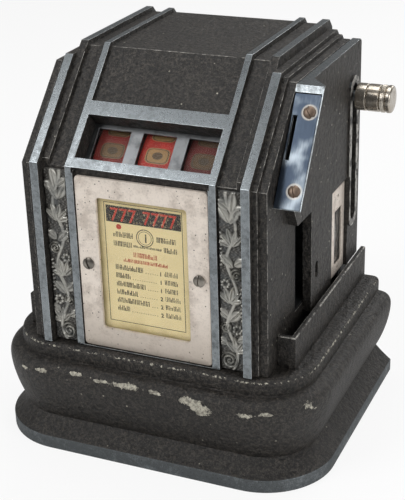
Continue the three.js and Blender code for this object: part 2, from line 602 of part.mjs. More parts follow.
// ---- Stop pawls: drawn dropped into a notch, then turned back to their lifted rest --------------------
function pawlOutline() {
  const elbow = polar(REEL_AT, STAR.tip + 4.5, PAWL_ANGLE);
  const nose = polar(REEL_AT, STAR.root + 0.4, PAWL_ANGLE);
  const heading = Math.atan2(elbow[1] - pawlShaftAt[1], elbow[0] - pawlShaftAt[0]);
  const across = heading + 90 * DEG;
  const side = PAWL_ANGLE + 90 * DEG;
  return [
    polar(pawlShaftAt, 2.6, across), polar(elbow, -1.6, side), polar(nose, -0.7, side),
    polar(nose, 0.7, side), polar(elbow, 1.6, side), polar(elbow, -3, across),
    polar(pawlShaftAt, -2.6, across),
  ];
}
const lift = new THREE.Matrix4().makeRotationX(-PAWL_SWING);
const pivot = new THREE.Vector3(0, ...pawlShaftAt);
const LIFTED = new THREE.Matrix4().makeTranslation(pivot).multiply(lift);
LIFTED.multiply(new THREE.Matrix4().makeTranslation(pivot.clone().negate()));
const starPlane = [starSpan[0] + 0.2, starSpan[1] - 0.2];
for (const [name, x] of reelPlaces) {
  piece(`stop_pawl_${name}`, cut(
    join(
      slab(pawlOutline(), starPlane.map((along) => x + along), LIFTED),
      rod('x', [x + starPlane[0] - 2, x + starPlane[1] + 2], pawlShaftAt, 4.2, 14),
    ),
    rod('x', [x, x + 2 * REEL_PITCH], pawlShaftAt, PAWL_SHAFT.r + GAP, 14),
  ), 'steel');
}

// ---- Kicker: a bail behind the reels, turned by a toothed sector that the handle's rack drives --------
const sectorR = RACK_LINE - REEL_AT[0];
const toothPitch = (2 * Math.PI * sectorR) / SECTOR_TEETH;
const tooth = {
  add: toothPitch * 0.29, ded: toothPitch * 0.4, half: toothPitch * 0.2, slant: Math.tan(20 * DEG),
};
const kickerAngle = HANDLE.travel / sectorR;
const bailRest = -15 * DEG;
const bailR = REEL_RADIUS + 3.8;
const bailWire = 1.8;
const bailArm = [FRAME_HALF - GAP - 1.1, FRAME_HALF - GAP];
const barAt = polar(REEL_AT, bailR, bailRest);
const armOutline = (half, from, to) => {
  const [start, end] = [polar(REEL_AT, from, bailRest), polar(REEL_AT, to, bailRest)];
  const side = bailRest + 90 * DEG;
  return [
    polar(start, half, side), polar(start, -half, side), polar(end, -half, side), polar(end, half, side),
  ];
};
piece('kicker_bail', cut(
  join(
    bothSides((side) => slab(armOutline(3.4, 0, bailR), spanOn(side, ...bailArm))),
    bothSides((side) => rod('x', spanOn(side, ...bailArm), REEL_AT, 8)),
    rod('x', around(bailArm[1]), barAt, bailWire, 12),
    reelPlaces.map(([, x]) => slab(
      armOutline(1.5, STAR.tip + 0.8, bailR), starPlane.map((along) => x + along),
    )),
  ),
  rod('x', [-bailArm[1] - 1, -bailArm[0] + 1], REEL_AT, bore),
  rod('x', [bailArm[0] - 1, bailArm[1] + 1], REEL_AT, sleeveR + GAP),
), 'steel');

// Outline of the sector: teeth from just below the mesh point up through the kicker's swing
function sectorOutline() {
  const step = (360 * DEG) / SECTOR_TEETH;
  const first = -1;
  const last = Math.ceil(kickerAngle / step);
  const points = [];
  for (let i = first; i <= last; i += 1) {
    const middle = (i + 0.5) * step;
    const wide = (tooth.half + tooth.ded * tooth.slant) / sectorR;
    const slim = (tooth.half - tooth.add * tooth.slant) / sectorR;
    points.push(polar(REEL_AT, sectorR - tooth.ded, middle - wide));
    points.push(polar(REEL_AT, sectorR + tooth.add, middle - slim));
    points.push(polar(REEL_AT, sectorR + tooth.add, middle + slim));
    points.push(polar(REEL_AT, sectorR - tooth.ded, middle + wide));
  }
  points.push(polar(REEL_AT, hubR + 2, (last + 1) * step + 10 * DEG));
  points.push(polar(REEL_AT, hubR + 2, first * step - 10 * DEG));
  return points;
}
const sectorMiddle = kickerAngle / 2;
piece('sector_gear', cut(
  join(
    slab(sectorOutline(), [RACK.low, RACK.high]),
    rod('x', [RACK.low, RACK.high], REEL_AT, 9),
    rod('x', [bailArm[0], RACK.high], REEL_AT, sleeveR),
  ),
  rod('x', [bailArm[0] - 1, RACK.high + 1], REEL_AT, bore),
  [-1, 1].map((side) => rod(
    'x', [RACK.low - 1, RACK.high + 1], polar(REEL_AT, sectorR * 0.68, sectorMiddle + side * 15 * DEG), 7.5,
  )),
  rod('x', [RACK.low - 1, RACK.high + 1], polar(REEL_AT, sectorR * 0.36, sectorMiddle), 3.5),
), 'brass');

// ---- Handle: knob, spindle, carriage and rack on an upright guide rod, with its return spring -----------
const carriageZ = [HANDLE.z - CARRIAGE.height / 2, HANDLE.z + CARRIAGE.height / 2];
const guideAt = [GUIDE_ROD.x, GUIDE_ROD.y];
const spindleAt = [HANDLE.y, HANDLE.z];
function rackOutline() {
  const low = REEL_AT[1] - RACK.below;
  const points = [[RACK.back, low], [RACK_LINE + tooth.ded, low]];
  for (let i = 0; REEL_AT[1] + (i + 0.5) * toothPitch < rackTop; i += 1) {
    const middle = REEL_AT[1] + i * toothPitch;
    const wide = tooth.half + tooth.ded * tooth.slant;
    const slim = tooth.half - tooth.add * tooth.slant;
    points.push([RACK_LINE + tooth.ded, middle - wide], [RACK_LINE - tooth.add, middle - slim]);
    points.push([RACK_LINE - tooth.add, middle + slim], [RACK_LINE + tooth.ded, middle + wide]);
  }
  points.push([RACK_LINE + tooth.ded, rackTop], [RACK.back, rackTop]);
  return points;
}
piece('handle_rack', slab(rackOutline(), [RACK.low, RACK.high]), 'steel');
piece('handle_carriage', cut(
  box(CARRIAGE.width, CARRIAGE.depth, carriageZ),
  rod('z', [carriageZ[0] - 1, carriageZ[1] + 1], guideAt, GUIDE_ROD.r + GAP, 16),
  rod('x', [CARRIAGE.width[0] + 1, CARRIAGE.width[1] + 1], spindleAt, HANDLE.spindle + GAP, 16),
), 'steel');
piece('handle_spindle', rod(
  'x', [CARRIAGE.width[0] + 1 + GAP, KNOB.from + KNOB.bore - GAP], spindleAt, HANDLE.spindle, 16,
), 'steel');
const groove = (at) => [[KNOB.r, at - 0.3], [KNOB.r - KNOB.groove, at], [KNOB.r, at + 0.3]];
piece('handle_knob', cut(
  turned('x', [
    [0, KNOB.from], [KNOB.r - KNOB.round, KNOB.from], [KNOB.r, KNOB.from + KNOB.round],
    ...KNOB.grooves.flatMap((along) => groove(KNOB.from + along)),
    [KNOB.r, KNOB.to - KNOB.round], [KNOB.r - KNOB.round, KNOB.to], [0, KNOB.to],
  ], spindleAt, 20),
  rod('x', [KNOB.from - 1, KNOB.from + KNOB.bore], spindleAt, HANDLE.spindle + GAP, 16),
), 'nickel');

const bracket = { x: [44.5, 54.5], y: [41.5, 52.2] };
const bracketLow = [CASE_BOTTOM, CASE_BOTTOM + 7.8];
const bracketHigh = [166, CEILING.side - GAP];
piece('guide_rod', rod('z', [bracketLow[0] + 1, bracketHigh[1] - 2], guideAt, GUIDE_ROD.r, 12), 'steel');
for (const [name, span] of [['bottom', bracketLow], ['top', bracketHigh]]) {
  piece(`guide_bracket_${name}`, cut(
    box(bracket.x, bracket.y, span),
    rod('z', [span[0] - 1, span[1] + 1], guideAt, GUIDE_ROD.r + GAP, 12),
  ), 'steel');
}

const springLow = bracketLow[1] + GAP + SPRING.wire;
const springHigh = carriageZ[0] - GAP - SPRING.wire;
class Helix extends THREE.Curve {
  getPoint(t) {
    const angle = t * SPRING.turns * 2 * Math.PI;
    const z = THREE.MathUtils.lerp(springLow, springHigh, t);
    return new THREE.Vector3(
      GUIDE_ROD.x + SPRING.r * Math.cos(angle), GUIDE_ROD.y + SPRING.r * Math.sin(angle), z,
    );
  }
}
const wireSection = new THREE.Shape(Array.from({ length: 5 }, (_, i) => new THREE.Vector2(
  SPRING.wire * Math.cos((i * 360 * DEG) / 5), SPRING.wire * Math.sin((i * 360 * DEG) / 5),
)));
piece('return_spring', solid(new THREE.ExtrudeGeometry(wireSection, {
  steps: SPRING.turns * 8, bevelEnabled: false, extrudePath: new Helix(),
})), 'steel');

// ---- Side casing with the coin head ----------------------------------------------------------------
// Frame of the coin plate: X across, Y up the plate, Z out of it
const plateUp = new THREE.Vector3(0, Math.sin(HEAD_LEAN), Math.cos(HEAD_LEAN));
const plateOut = new THREE.Vector3(0, -Math.cos(HEAD_LEAN), Math.sin(HEAD_LEAN));
const headPoint = new THREE.Vector3(HEAD_POINT.x, HEAD_POINT.y, HEAD_POINT.z);
const ON_HEAD = new THREE.Matrix4().makeBasis(UNIT_X, plateUp, plateOut).setPosition(headPoint);
const headFront = (z) => HEAD_POINT.y + (z - HEAD_POINT.z) * Math.tan(HEAD_LEAN);

const casingInner = SIDE.to + GAP;
function headRing(z) {
  const front = headFront(z);
  const lip = front + HEAD.lip;
  const flare = lip + HEAD.flare[1];
  return [
    [casingInner, front, z], [HEAD.side, front, z], [HEAD.side, lip, z],
    [HEAD.flare[0], flare, z], [casingInner, flare, z],
  ];
}
const casingOutline = [
  [CASE_BACK, CASING.low], [CASE_BACK, CASING.top - 1.5], [CASE_BACK - 1.5, CASING.top],
  [headFront(CASING.top) + 1, CASING.top], [headFront(HEAD.low) + 1, HEAD.low],
  [CASING.bib[0] - 8, HEAD.low], CASING.bib, [CASING.front, CASING.bib[1] - 0.5], [CASING.front, CASING.low],
];
const throughCasing = [casingInner - 1, CASING.face + 1];
const coinScrews = [-1, 1].map((side) => [COIN_SCREW.x, side * COIN_SCREW.y]);
const coinScrewHole = COIN_SCREW.shank + GAP;
const recessDepth = COIN_PLATE.sunk + COIN_PLATE.thick + GAP;
const slotY = [COIN_SLOT.middle - COIN_SLOT.length / 2, COIN_SLOT.middle + COIN_SLOT.length / 2];
const bead = HANDLE_SLOT.bead;
const beadSpan = [HANDLE_SLOT.low - bead, HANDLE_SLOT.high + bead];

// The coin's way: in through the head along the slot's own slant, then down behind the side window
const raceEnd = (SIDE_FRAME.y[0] + SIDE_FRAME.y[1]) / 2;
const raceStart = new THREE.Vector3(0, HEAD_POINT.y, HEAD_POINT.z).addScaledVector(plateUp, COIN_SLOT.middle);
const raceLength = (raceEnd - raceStart.y) / -plateOut.y;
const raceOutline = [[0, -1], [raceLength, -1], [raceLength, 1], [0, 1]].map(([along, side]) => {
  const point = raceStart.clone().addScaledVector(plateOut, -along);
  point.addScaledVector(plateUp, (side * RACE_WIDTH) / 2);
  return [point.y, point.z];
});

piece('side_casing', cut(
  join(
    slab(casingOutline, [casingInner, CASING.face]),
    loft([headRing(HEAD.low), headRing(CASING.top)]),
    roundSlot(
      [CASING.face - 1, CASING.face + HANDLE_SLOT.proud], HANDLE.y, beadSpan, HANDLE_SLOT.halfWidth + bead,
    ),
  ),
  roundSlot(
    [casingInner - 1, CASING.face + HANDLE_SLOT.proud + 1], HANDLE.y,
    [HANDLE_SLOT.low, HANDLE_SLOT.high], HANDLE_SLOT.halfWidth,
  ),
  box(throughCasing, SIDE_WINDOW.y, SIDE_WINDOW.z),
  roundSlot(throughCasing, SIDE_SLOT.y, SIDE_SLOT.z, SIDE_SLOT.halfWidth),
  box(
    [-20, COIN_PLATE.halfWidth + GAP], around(COIN_PLATE.halfLength + GAP), [-recessDepth, 5], ON_HEAD,
  ),
  box(COIN_SLOT.x, slotY, [-12, 0], ON_HEAD),
  cut(slab(raceOutline, [casingInner - 1, RACE_FACE]), box([-20, 20], [-40, 40], [-8, 20], ON_HEAD)),
  box(
    [casingInner - 1, RACE_FACE], [COIN_GUIDE.y[0] - GAP, SIDE_WINDOW.y[1]],
    [SIDE_WINDOW.z[0], COIN_GUIDE.z[1]],
  ),
  coinScrews.map((at) => rod('z', [-COIN_SCREW.length - 2, 0], at, coinScrewHole, 12, ON_HEAD)),
  CASING_SCREWS.at.map((at) => rod('x', [casingInner - 1, RACE_FACE], at, CASING_SCREWS.hole, 12)),
), 'crackle');
piece('coin_plate', cut(
  box(
    around(COIN_PLATE.halfWidth), around(COIN_PLATE.halfLength),
    [-COIN_PLATE.sunk - COIN_PLATE.thick, -COIN_PLATE.sunk], ON_HEAD,
  ),
  box(COIN_SLOT.x, slotY, [-5, 5], ON_HEAD),
  coinScrews.map((at) => rod('z', [-5, 5], at, coinScrewHole, 12, ON_HEAD)),
), 'steel');
for (const [i, name] of ['lower', 'upper'].entries()) {
  piece(`coin_plate_screw_${name}`, screw(
    'z', GAP - COIN_PLATE.sunk, 1, coinScrews[i],
    COIN_SCREW.head, COIN_SCREW.shank, COIN_SCREW.length, ON_HEAD,
  ), 'brass');
}

// ---- Side window, coin guide and coin return cup ---------------------------------------------------------
const throughSideFrame = inside(SIDE_FRAME.x, -1);
piece('side_window_frame', cut(
  box(SIDE_FRAME.x, SIDE_FRAME.y, SIDE_FRAME.z),
  box(throughSideFrame, SIDE_FRAME_OPENING.y, SIDE_FRAME_OPENING.z),
  SIDE_FRAME_HOLES.z.map((z) => rod('x', throughSideFrame, [SIDE_FRAME_HOLES.y, z], SIDE_FRAME_HOLES.r, 12)),
), 'nickel');
const sideGlassFace = SIDE_FRAME.x[0] - GAP;
piece('side_window_glass', box(
  [sideGlassFace - SIDE_GLASS_THICK, sideGlassFace], SIDE_FRAME.y, SIDE_FRAME.z,
), 'glass');
piece('coin_guide', cut(
  box([COIN_GUIDE.x, SIDE.to - GAP], COIN_GUIDE.y, COIN_GUIDE.z),
  box(
    [COIN_GUIDE.x + COIN_GUIDE.wall, SIDE.to],
    inside(COIN_GUIDE.y, COIN_GUIDE.wall), inside(COIN_GUIDE.z, -1),
  ),
), 'steel');
const cup = { y: inside(RETURN_CAVITY.y, GAP), z: inside(RETURN_CAVITY.z, GAP) };
piece('coin_return_cup', cut(
  box([RETURN_CAVITY.depth, SIDE.to - GAP], cup.y, cup.z),
  box(
    [RETURN_CAVITY.depth + RETURN_CAVITY.wall, SIDE.to],
    inside(cup.y, RETURN_CAVITY.wall), inside(cup.z, RETURN_CAVITY.wall),
  ),
), 'steel');

// ---- Back door, hinge and lock ----------------------------------------------------------------------------
const doorY = [DOOR_FACE - DOOR.thick, DOOR_FACE];
const lockX = DOOR.halfWidth - LOCK.fromEdge;
const lockAt = [lockX, LOCK.z];
piece('back_door', cut(
  box(around(DOOR.halfWidth), doorY, [DOOR.low, DOOR.high]),
  rod('y', [doorY[0] - 1, doorY[1] + 1], lockAt, LOCK.body + GAP),
), 'crackle');

const leafY = [DOOR_FACE + GAP, DOOR_FACE + GAP + HINGE.leaf];
const hingeAt = [-DOOR.halfWidth - GAP / 2, leafY[0] + HINGE.r + 0.1];
const third = (HINGE.z[1] - HINGE.z[0]) / 3;
const caseKnuckles = [[HINGE.z[0], HINGE.z[0] + third - GAP], [HINGE.z[1] - third + GAP, HINGE.z[1]]];
const doorKnuckles = [[HINGE.z[0] + third, HINGE.z[1] - third]];
const hingeX = (span) => span.map((v) => hingeAt[0] + v);
function hingeHalf(side, knuckles, width) {
  const leaf = cut(
    box(hingeX(spanOn(side, 0, width)), leafY, HINGE.z),
    box(hingeX(around(HINGE.r + GAP)), inside(leafY, -1), inside(HINGE.z, -1)),
  );
  const rolls = knuckles.map((span) => [
    rod('z', span, hingeAt, HINGE.r, 16),
    box(hingeX(spanOn(side, HINGE.r * 0.5, HINGE.r + 1)), leafY, span),
  ]);
  return cut(join(leaf, rolls.flat()), rod('z', inside(HINGE.z, -1), hingeAt, HINGE.pin + GAP, 16));
}
piece('hinge_case_leaf', hingeHalf(-1, caseKnuckles, HINGE.caseWidth), 'steel');
piece('hinge_door_leaf', hingeHalf(1, doorKnuckles, HINGE.doorWidth), 'steel');
piece('hinge_pin', rod('z', [HINGE.z[0] - 0.5, HINGE.z[1] + 0.5], hingeAt, HINGE.pin, 12), 'steel');

const lockFlange = [DOOR_FACE + GAP, DOOR_FACE + GAP + LOCK.flange];
piece('lock_body', cut(
  join(rod('y', [INNER.back, lockFlange[1]], lockAt, LOCK.body), rod('y', lockFlange, lockAt, LOCK.body + 2)),
  rod('y', [INNER.back - 1, lockFlange[1] + 1], lockAt, LOCK.plug + GAP),
), 'brass');
const nutY = [ledgeFace - 1.2, ledgeFace];
piece('lock_nut', cut(
  rod('y', nutY, lockAt, LOCK.body + 2.4, 6),
  rod('y', [nutY[0] - 1, nutY[1] + 1], lockAt, LOCK.body + GAP),
), 'steel');
const camY = [INNER.back - GAP - LOCK.camThick, INNER.back - GAP];
piece('lock_plug', cut(
  rod('y', [camY[0] - 0.3, lockFlange[1] + 0.4], lockAt, LOCK.plug, 16),
  box([lockX - 0.5, lockX + 0.5], [lockFlange[0], lockFlange[1] + 1], [LOCK.z - 2, LOCK.z + 2]),
), 'brass');
piece('lock_cam', cut(
  box([lockX - LOCK.camHalf, lockX + LOCK.camHalf], camY, [LOCK.z - LOCK.camHalf, LOCK.z + LOCK.cam]),
  rod('y', [camY[0] - 1, camY[1] + 1], lockAt, LOCK.plug + GAP, 16),
), 'steel');

export default machine;
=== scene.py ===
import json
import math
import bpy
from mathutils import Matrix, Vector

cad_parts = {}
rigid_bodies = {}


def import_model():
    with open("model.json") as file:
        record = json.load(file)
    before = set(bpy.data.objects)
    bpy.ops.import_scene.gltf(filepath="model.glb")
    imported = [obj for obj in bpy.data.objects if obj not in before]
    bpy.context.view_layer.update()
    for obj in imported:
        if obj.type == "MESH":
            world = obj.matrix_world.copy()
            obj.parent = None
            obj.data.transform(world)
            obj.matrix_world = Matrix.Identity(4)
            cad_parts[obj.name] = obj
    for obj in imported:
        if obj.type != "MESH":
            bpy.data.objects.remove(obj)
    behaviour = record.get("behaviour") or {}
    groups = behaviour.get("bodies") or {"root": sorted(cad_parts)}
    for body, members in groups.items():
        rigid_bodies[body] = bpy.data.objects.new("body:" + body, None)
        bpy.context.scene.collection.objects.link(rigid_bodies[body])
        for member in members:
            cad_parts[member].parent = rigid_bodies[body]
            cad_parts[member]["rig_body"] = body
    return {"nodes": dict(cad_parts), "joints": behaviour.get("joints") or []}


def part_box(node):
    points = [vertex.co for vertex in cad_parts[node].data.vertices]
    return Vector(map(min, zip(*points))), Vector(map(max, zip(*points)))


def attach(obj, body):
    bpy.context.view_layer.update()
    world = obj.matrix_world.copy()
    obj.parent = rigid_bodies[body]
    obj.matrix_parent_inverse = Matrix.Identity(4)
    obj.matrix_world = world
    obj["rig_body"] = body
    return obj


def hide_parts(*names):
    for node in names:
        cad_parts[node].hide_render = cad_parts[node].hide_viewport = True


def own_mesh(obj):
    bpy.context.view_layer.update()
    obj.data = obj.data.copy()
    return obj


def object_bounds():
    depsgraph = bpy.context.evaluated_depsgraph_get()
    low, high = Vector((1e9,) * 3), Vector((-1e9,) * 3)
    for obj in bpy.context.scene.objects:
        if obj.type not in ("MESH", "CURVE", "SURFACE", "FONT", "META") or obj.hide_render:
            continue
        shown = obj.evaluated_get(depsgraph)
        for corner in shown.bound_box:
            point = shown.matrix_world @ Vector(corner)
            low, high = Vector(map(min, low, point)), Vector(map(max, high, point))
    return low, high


bl_info = {
    "name": "Counter-Top Reel Machine",
    "version": (1, 0, 0),
    "blender": (4, 5, 0),
    "location": "View3D > Sidebar > Reel Machine",
    "description": "Builds the visible surfaces and finishes of a cast counter-top reel machine",
    "category": "Object",
}

import bmesh
import bpy
import numpy as np
from mathutils import Matrix, Vector

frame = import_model()
CAD_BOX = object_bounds()
MM = 0.001
TURN = 2 * math.pi
SHARP_ANGLE = math.radians(38)

REEL_OUTER = 36                   # a reel strip's outer radius, in mm
REEL_STOPS = 20
STRIP_THICK = 0.6
STRIP_EDGE = 0.12                 # rounding of a strip's edges
STRIP_HALF = 8.5                  # half a strip's width

COIN_LEAN = math.atan(0.6692)     # the coin plate runs back 0.6692 mm for each mm that it rises
COIN_OUT = Vector((0, -math.cos(COIN_LEAN), math.sin(COIN_LEAN)))
COIN_UP = Vector((0, math.sin(COIN_LEAN), math.cos(COIN_LEAN)))

FINISHES = {}                     # the finishes that several pieces share, by name


# ---- Settings --------------------------------------------------------------------------------

def colour(label, about, value):
    """A colour setting."""
    return bpy.props.FloatVectorProperty(
        name=label, description=about, default=value, size=3, min=0, max=1, subtype="COLOR"
    )


def length(label, about, value):
    """A length setting, in metres."""
    return bpy.props.FloatProperty(name=label, description=about, default=value, min=0, unit="LENGTH")


def share(label, about, value):
    """A setting from 0 to 1."""
    return bpy.props.FloatProperty(
        name=label, description=about, default=value, min=0, max=1, subtype="FACTOR"
    )


class MachineColours(bpy.types.PropertyGroup):
    """Colours of the finishes."""

    # Painted shade and highlight: the hollow colour darkens the paint where its wrinkles sink, and the crest
    # colour lightens it where they rise.
    paint: colour("Paint", "Crackle paint in its hollows", (0.0035, 0.0028, 0.0023))
    paint_crest_highlight: colour("Paint crest", "Crackle paint where its wrinkles catch dust", (0.082, 0.071, 0.059))
    worn: colour("Worn edge", "Metal where an edge is rubbed bare", (0.52, 0.50, 0.46))
    chip: colour("Chip", "Primer and metal under chipped paint", (0.58, 0.55, 0.46))
    aluminium: colour("Aluminium", "Bare polished casting", (0.27, 0.295, 0.31))
    aluminium_dark: colour("Dull aluminium", "Casting dulled by hands and age", (0.12, 0.13, 0.135))
    relief: colour("Relief", "Cast ornament where it stands out", (0.46, 0.45, 0.41))
    nickel: colour("Nickel", "Plate round the award card", (0.86, 0.77, 0.68))
    knob: colour("Knob", "Plated knob", (0.52, 0.48, 0.42))
    blued_steel: colour("Blued steel", "Coin plate where it is darkest", (0.035, 0.05, 0.075))
    bright_steel: colour("Bright steel", "Coin plate where it is lightest", (0.34, 0.39, 0.43))
    steel: colour("Steel", "Works behind the door", (0.33, 0.34, 0.35))
    brass: colour("Brass", "Wheels, lock and sector", (0.50, 0.34, 0.13))
    old_screw: colour("Old screw", "Screws browned with age", (0.23, 0.17, 0.13))
    card: colour("Card", "Award card", (0.88, 0.72, 0.40))
    card_edge: colour("Card edge", "Award card where it has yellowed", (0.52, 0.39, 0.16))
    ink: colour("Ink", "Dark print", (0.030, 0.026, 0.022))
    red_ink: colour("Red ink", "Red print", (0.52, 0.045, 0.028))
    reel: colour("Reel", "Ground of the reel strips", (0.46, 0.018, 0.008))
    symbol: colour("Symbol", "Panels on the reel strips", (0.34, 0.20, 0.075))


class MachineSizes(bpy.types.PropertyGroup):
    """Sizes of what the finishing adds to the castings."""

    edge: length("Edge radius", "Rounding of the castings' outer edges", 0.5 * MM)
    sheet_edge: length("Sheet edge", "Rounding of thin metal's edges", 0.15 * MM)
    wrinkle: length("Wrinkle", "Width of a wrinkle in the paint", 1.5 * MM)
    relief: length("Relief", "Height of the cast ornament", 1.7 * MM)
    plate_corner: length("Plate corner", "Corner radius of the award plate", 1.8 * MM)
    wear: share("Wear", "How much of each painted edge is worn bare", 0.8)


class MachineStage(bpy.types.PropertyGroup):
    """Camera and light."""

    target: bpy.props.FloatVectorProperty(
        name="Target", description="What the camera looks at", default=(-0.01019, 0.03477, 0.06885),
        size=3, unit="LENGTH",
    )
    distance: length("Distance", "From the camera to its target", 0.6503)
    azimuth: bpy.props.FloatProperty(
        name="Azimuth", description="Camera round the machine", default=math.radians(24.08), subtype="ANGLE",
    )
    elevation: bpy.props.FloatProperty(
        name="Elevation", description="Camera above the horizon", default=math.radians(24.17),
        subtype="ANGLE",
    )
    roll: bpy.props.FloatProperty(
        name="Roll", description="Camera about its own axis", default=math.radians(-1.73), subtype="ANGLE",
    )
    lens: bpy.props.FloatProperty(
        name="Lens", description="Focal length", default=90.22, min=10, subtype="DISTANCE_CAMERA",
    )
    daylight: share("Daylight", "Light from all round", 0.22)


# ---- Shader maths ----------------------------------------------------------------------------

class Value:
    """A shader socket. Python's operators on it add Math nodes."""

    def __init__(self, finish, socket):
        self.finish = finish
        self.socket = socket

    def maths(self, operation, *values):
        return self.finish.node("ShaderNodeMath", {"operation": operation}, values)

    def __add__(self, other):
        return self.maths("ADD", self, other)

    def __radd__(self, other):
        return self.maths("ADD", other, self)

    def __sub__(self, other):
        return self.maths("SUBTRACT", self, other)

    def __rsub__(self, other):
        return self.maths("SUBTRACT", other, self)

    def __mul__(self, other):
        return self.maths("MULTIPLY", self, other)

    def __rmul__(self, other):
        return self.maths("MULTIPLY", other, self)

    def __truediv__(self, other):
        return self.maths("DIVIDE", self, other)

    def __pow__(self, other):
        return self.maths("POWER", self, other)

    def __abs__(self):
        return self.maths("ABSOLUTE", self)


class Finish:
    """One procedural material, on Object coordinates in metres."""

    def __init__(self, name):
        self.material = bpy.data.materials.new(name)
        self.material.use_nodes = True
        self.tree = self.material.node_tree
        self.tree.nodes.clear()
        self.point = self.node("ShaderNodeTexCoord", output="Object")
        self.x = self.node("ShaderNodeSeparateXYZ", inputs=[self.point], output="X")
        separate = self.x.socket.node
        self.y = Value(self, separate.outputs["Y"])
        self.z = Value(self, separate.outputs["Z"])

    def node(self, kind, settings=None, inputs=(), output=0):
        """Adds a node: its settings first, then a value or a link for each named or numbered socket."""
        made = self.tree.nodes.new(kind)
        for key, value in (settings or {}).items():
            if key == "stops":
                self.set_stops(made.color_ramp, value)
            else:
                setattr(made, key, value)
        named = inputs.items() if isinstance(inputs, dict) else enumerate(inputs)
        for key, value in named:
            if isinstance(value, Value):
                self.tree.links.new(value.socket, made.inputs[key])
            else:
                made.inputs[key].default_value = value
        return Value(self, made.outputs[output]) if made.outputs else made

    @staticmethod
    def set_stops(ramp, stops):
        while len(ramp.elements) < len(stops):
            ramp.elements.new(1)
        for element, (place, shade) in zip(ramp.elements, stops):
            element.position = place
            element.color = (*shade, 1)

    def noise(self, size, detail=2.0, roughness=0.5, stretch=None):
        """Noise whose lumps are about `size` metres across, stretched along an axis where asked."""
        vector = self.point
        if stretch:
            vector = self.node("ShaderNodeMapping", inputs={"Vector": self.point, "Scale": stretch})
        return self.node("ShaderNodeTexNoise", inputs={
            "Vector": vector, "Scale": 1 / size, "Detail": detail, "Roughness": roughness,
        })

    def cells(self, size, output="Distance", feature="F1"):
        """Voronoi cells about `size` metres across."""
        return self.node("ShaderNodeTexVoronoi", {"feature": feature}, {
            "Vector": self.point, "Scale": 1 / size,
        }, output)

    def step(self, value, low, high):
        """0 below low and 1 above high, smooth between them."""
        return self.node("ShaderNodeMapRange", {"interpolation_type": "SMOOTHSTEP"}, [value, low, high, 0, 1])

    def band(self, value, low, high, soft):
        """1 between low and high."""
        return self.step(value, low - soft, low) * (1 - self.step(value, high, high + soft))

    def most(self, *values):
        return values[0].maths("MAXIMUM", *values)

    def blend(self, factor, first, second):
        """A colour between two colours."""
        shades = [v if isinstance(v, Value) else (*v, 1) for v in (first, second)]
        return self.node("ShaderNodeMix", {"data_type": "RGBA"}, {0: factor, 6: shades[0], 7: shades[1]}, 2)

    def bump(self, height, strength, distance, normal=None):
        sockets = {"Height": height, "Strength": strength, "Distance": distance}
        if normal:
            sockets["Normal"] = normal
        return self.node("ShaderNodeBump", inputs=sockets, output="Normal")

    def finish(self, **sockets):
        """Ends the tree in a Principled surface. A socket's name has _ for each space."""
        named = {key.replace("_", " "): value for key, value in sockets.items()}
        shader = self.node("ShaderNodeBsdfPrincipled", inputs=named)
        self.node("ShaderNodeOutputMaterial", inputs=[shader])
        return self.material


def attribute(finish, name):
    """A number stored at each vertex of the piece."""
    return finish.node("ShaderNodeAttribute", {"attribute_name": name}, output="Fac")


# ---- Finishes --------------------------------------------------------------------------------

def specks(finish, size, rarity, radius):
    """Sparse light dots: the middle of those cells whose random shade passes `rarity`."""
    chance = finish.node("ShaderNodeSeparateColor", inputs=[finish.cells(size, "Color")])
    dot = 1 - finish.step(finish.cells(size), radius * 0.6, radius)
    return dot * finish.step(chance, rarity, rarity + 0.02)


def paint_and_metal(finish, bare, metal, gloss=0.46):
    """Wrinkled dark paint, with painted shade in its hollows and painted highlight on its crests, and metal
    showing through where `bare` is 1.
    """
    colours = bpy.context.scene.machine_colours
    sizes = bpy.context.scene.machine_sizes
    wrinkles = finish.noise(sizes.wrinkle, 3, 0.62)
    grain = finish.noise(sizes.wrinkle * 0.4, 2, 0.6)
    folds = finish.cells(sizes.wrinkle * 2.1, feature="SMOOTH_F1")
    dust = finish.noise(15 * MM, 3, 0.6)
    # Painted shade and highlight: the colour follows the wrinkles' relief, light on crests and dark in
    # hollows, mottled by the dust noise.
    crest_highlight = finish.step(wrinkles * 0.5 + grain * 0.5, 0.42, 0.66)
    shade = finish.blend(crest_highlight * (0.25 + dust * 0.9), colours.paint, colours.paint_crest_highlight)
    dull = finish.noise(1.6 * MM, 4, 0.65)
    metal_shade = finish.blend(finish.step(dull, 0.38, 0.62), metal, tuple(0.42 * v for v in metal))
    relief = folds * 0.8 + wrinkles * 0.9 + grain * 0.35
    wrinkled = finish.bump(relief, 1.0, 0.75 * MM)
    pitted = finish.bump(bare, 0.5, -0.15 * MM, wrinkled)
    return finish.finish(
        Base_Color=finish.blend(bare, shade, metal_shade),
        Metallic=bare * 0.6,
        Roughness=(gloss + grain * 0.16) * (1 - bare) + bare * 0.40,
        Specular_IOR_Level=0.5,
        Normal=pitted,
    )


def crackle_paint(name):
    """Dark crackle paint with a few light specks."""
    finish = Finish(name)
    bare = specks(finish, 5 * MM, 0.66, 0.10) * 0.85
    return paint_and_metal(finish, bare, bpy.context.scene.machine_colours.chip)


def worn_edge(name):
    """Paint rubbed through to metal in patches, for rounded edges and beads."""
    finish = Finish(name)
    wear = bpy.context.scene.machine_sizes.wear
    rubbed = finish.noise(5 * MM, 4, 0.65)
    bare = finish.step(rubbed, 0.70 - 0.35 * wear, 0.80 - 0.35 * wear)
    return paint_and_metal(finish, bare, bpy.context.scene.machine_colours.worn, 0.38)


def chipped_paint(name):
    """Crackle paint with ragged chips where the piece's own wear attribute is high."""
    finish = Finish(name)
    ragged = finish.noise(2.4 * MM, 5, 0.7)
    worn = attribute(finish, "wear")
    bare = finish.step(worn + (ragged - 0.5) * 1.7, 0.60, 0.66)
    dots = specks(finish, 6 * MM, 0.66, 0.09) * 0.8
    return paint_and_metal(finish, finish.most(bare, dots), bpy.context.scene.machine_colours.chip)


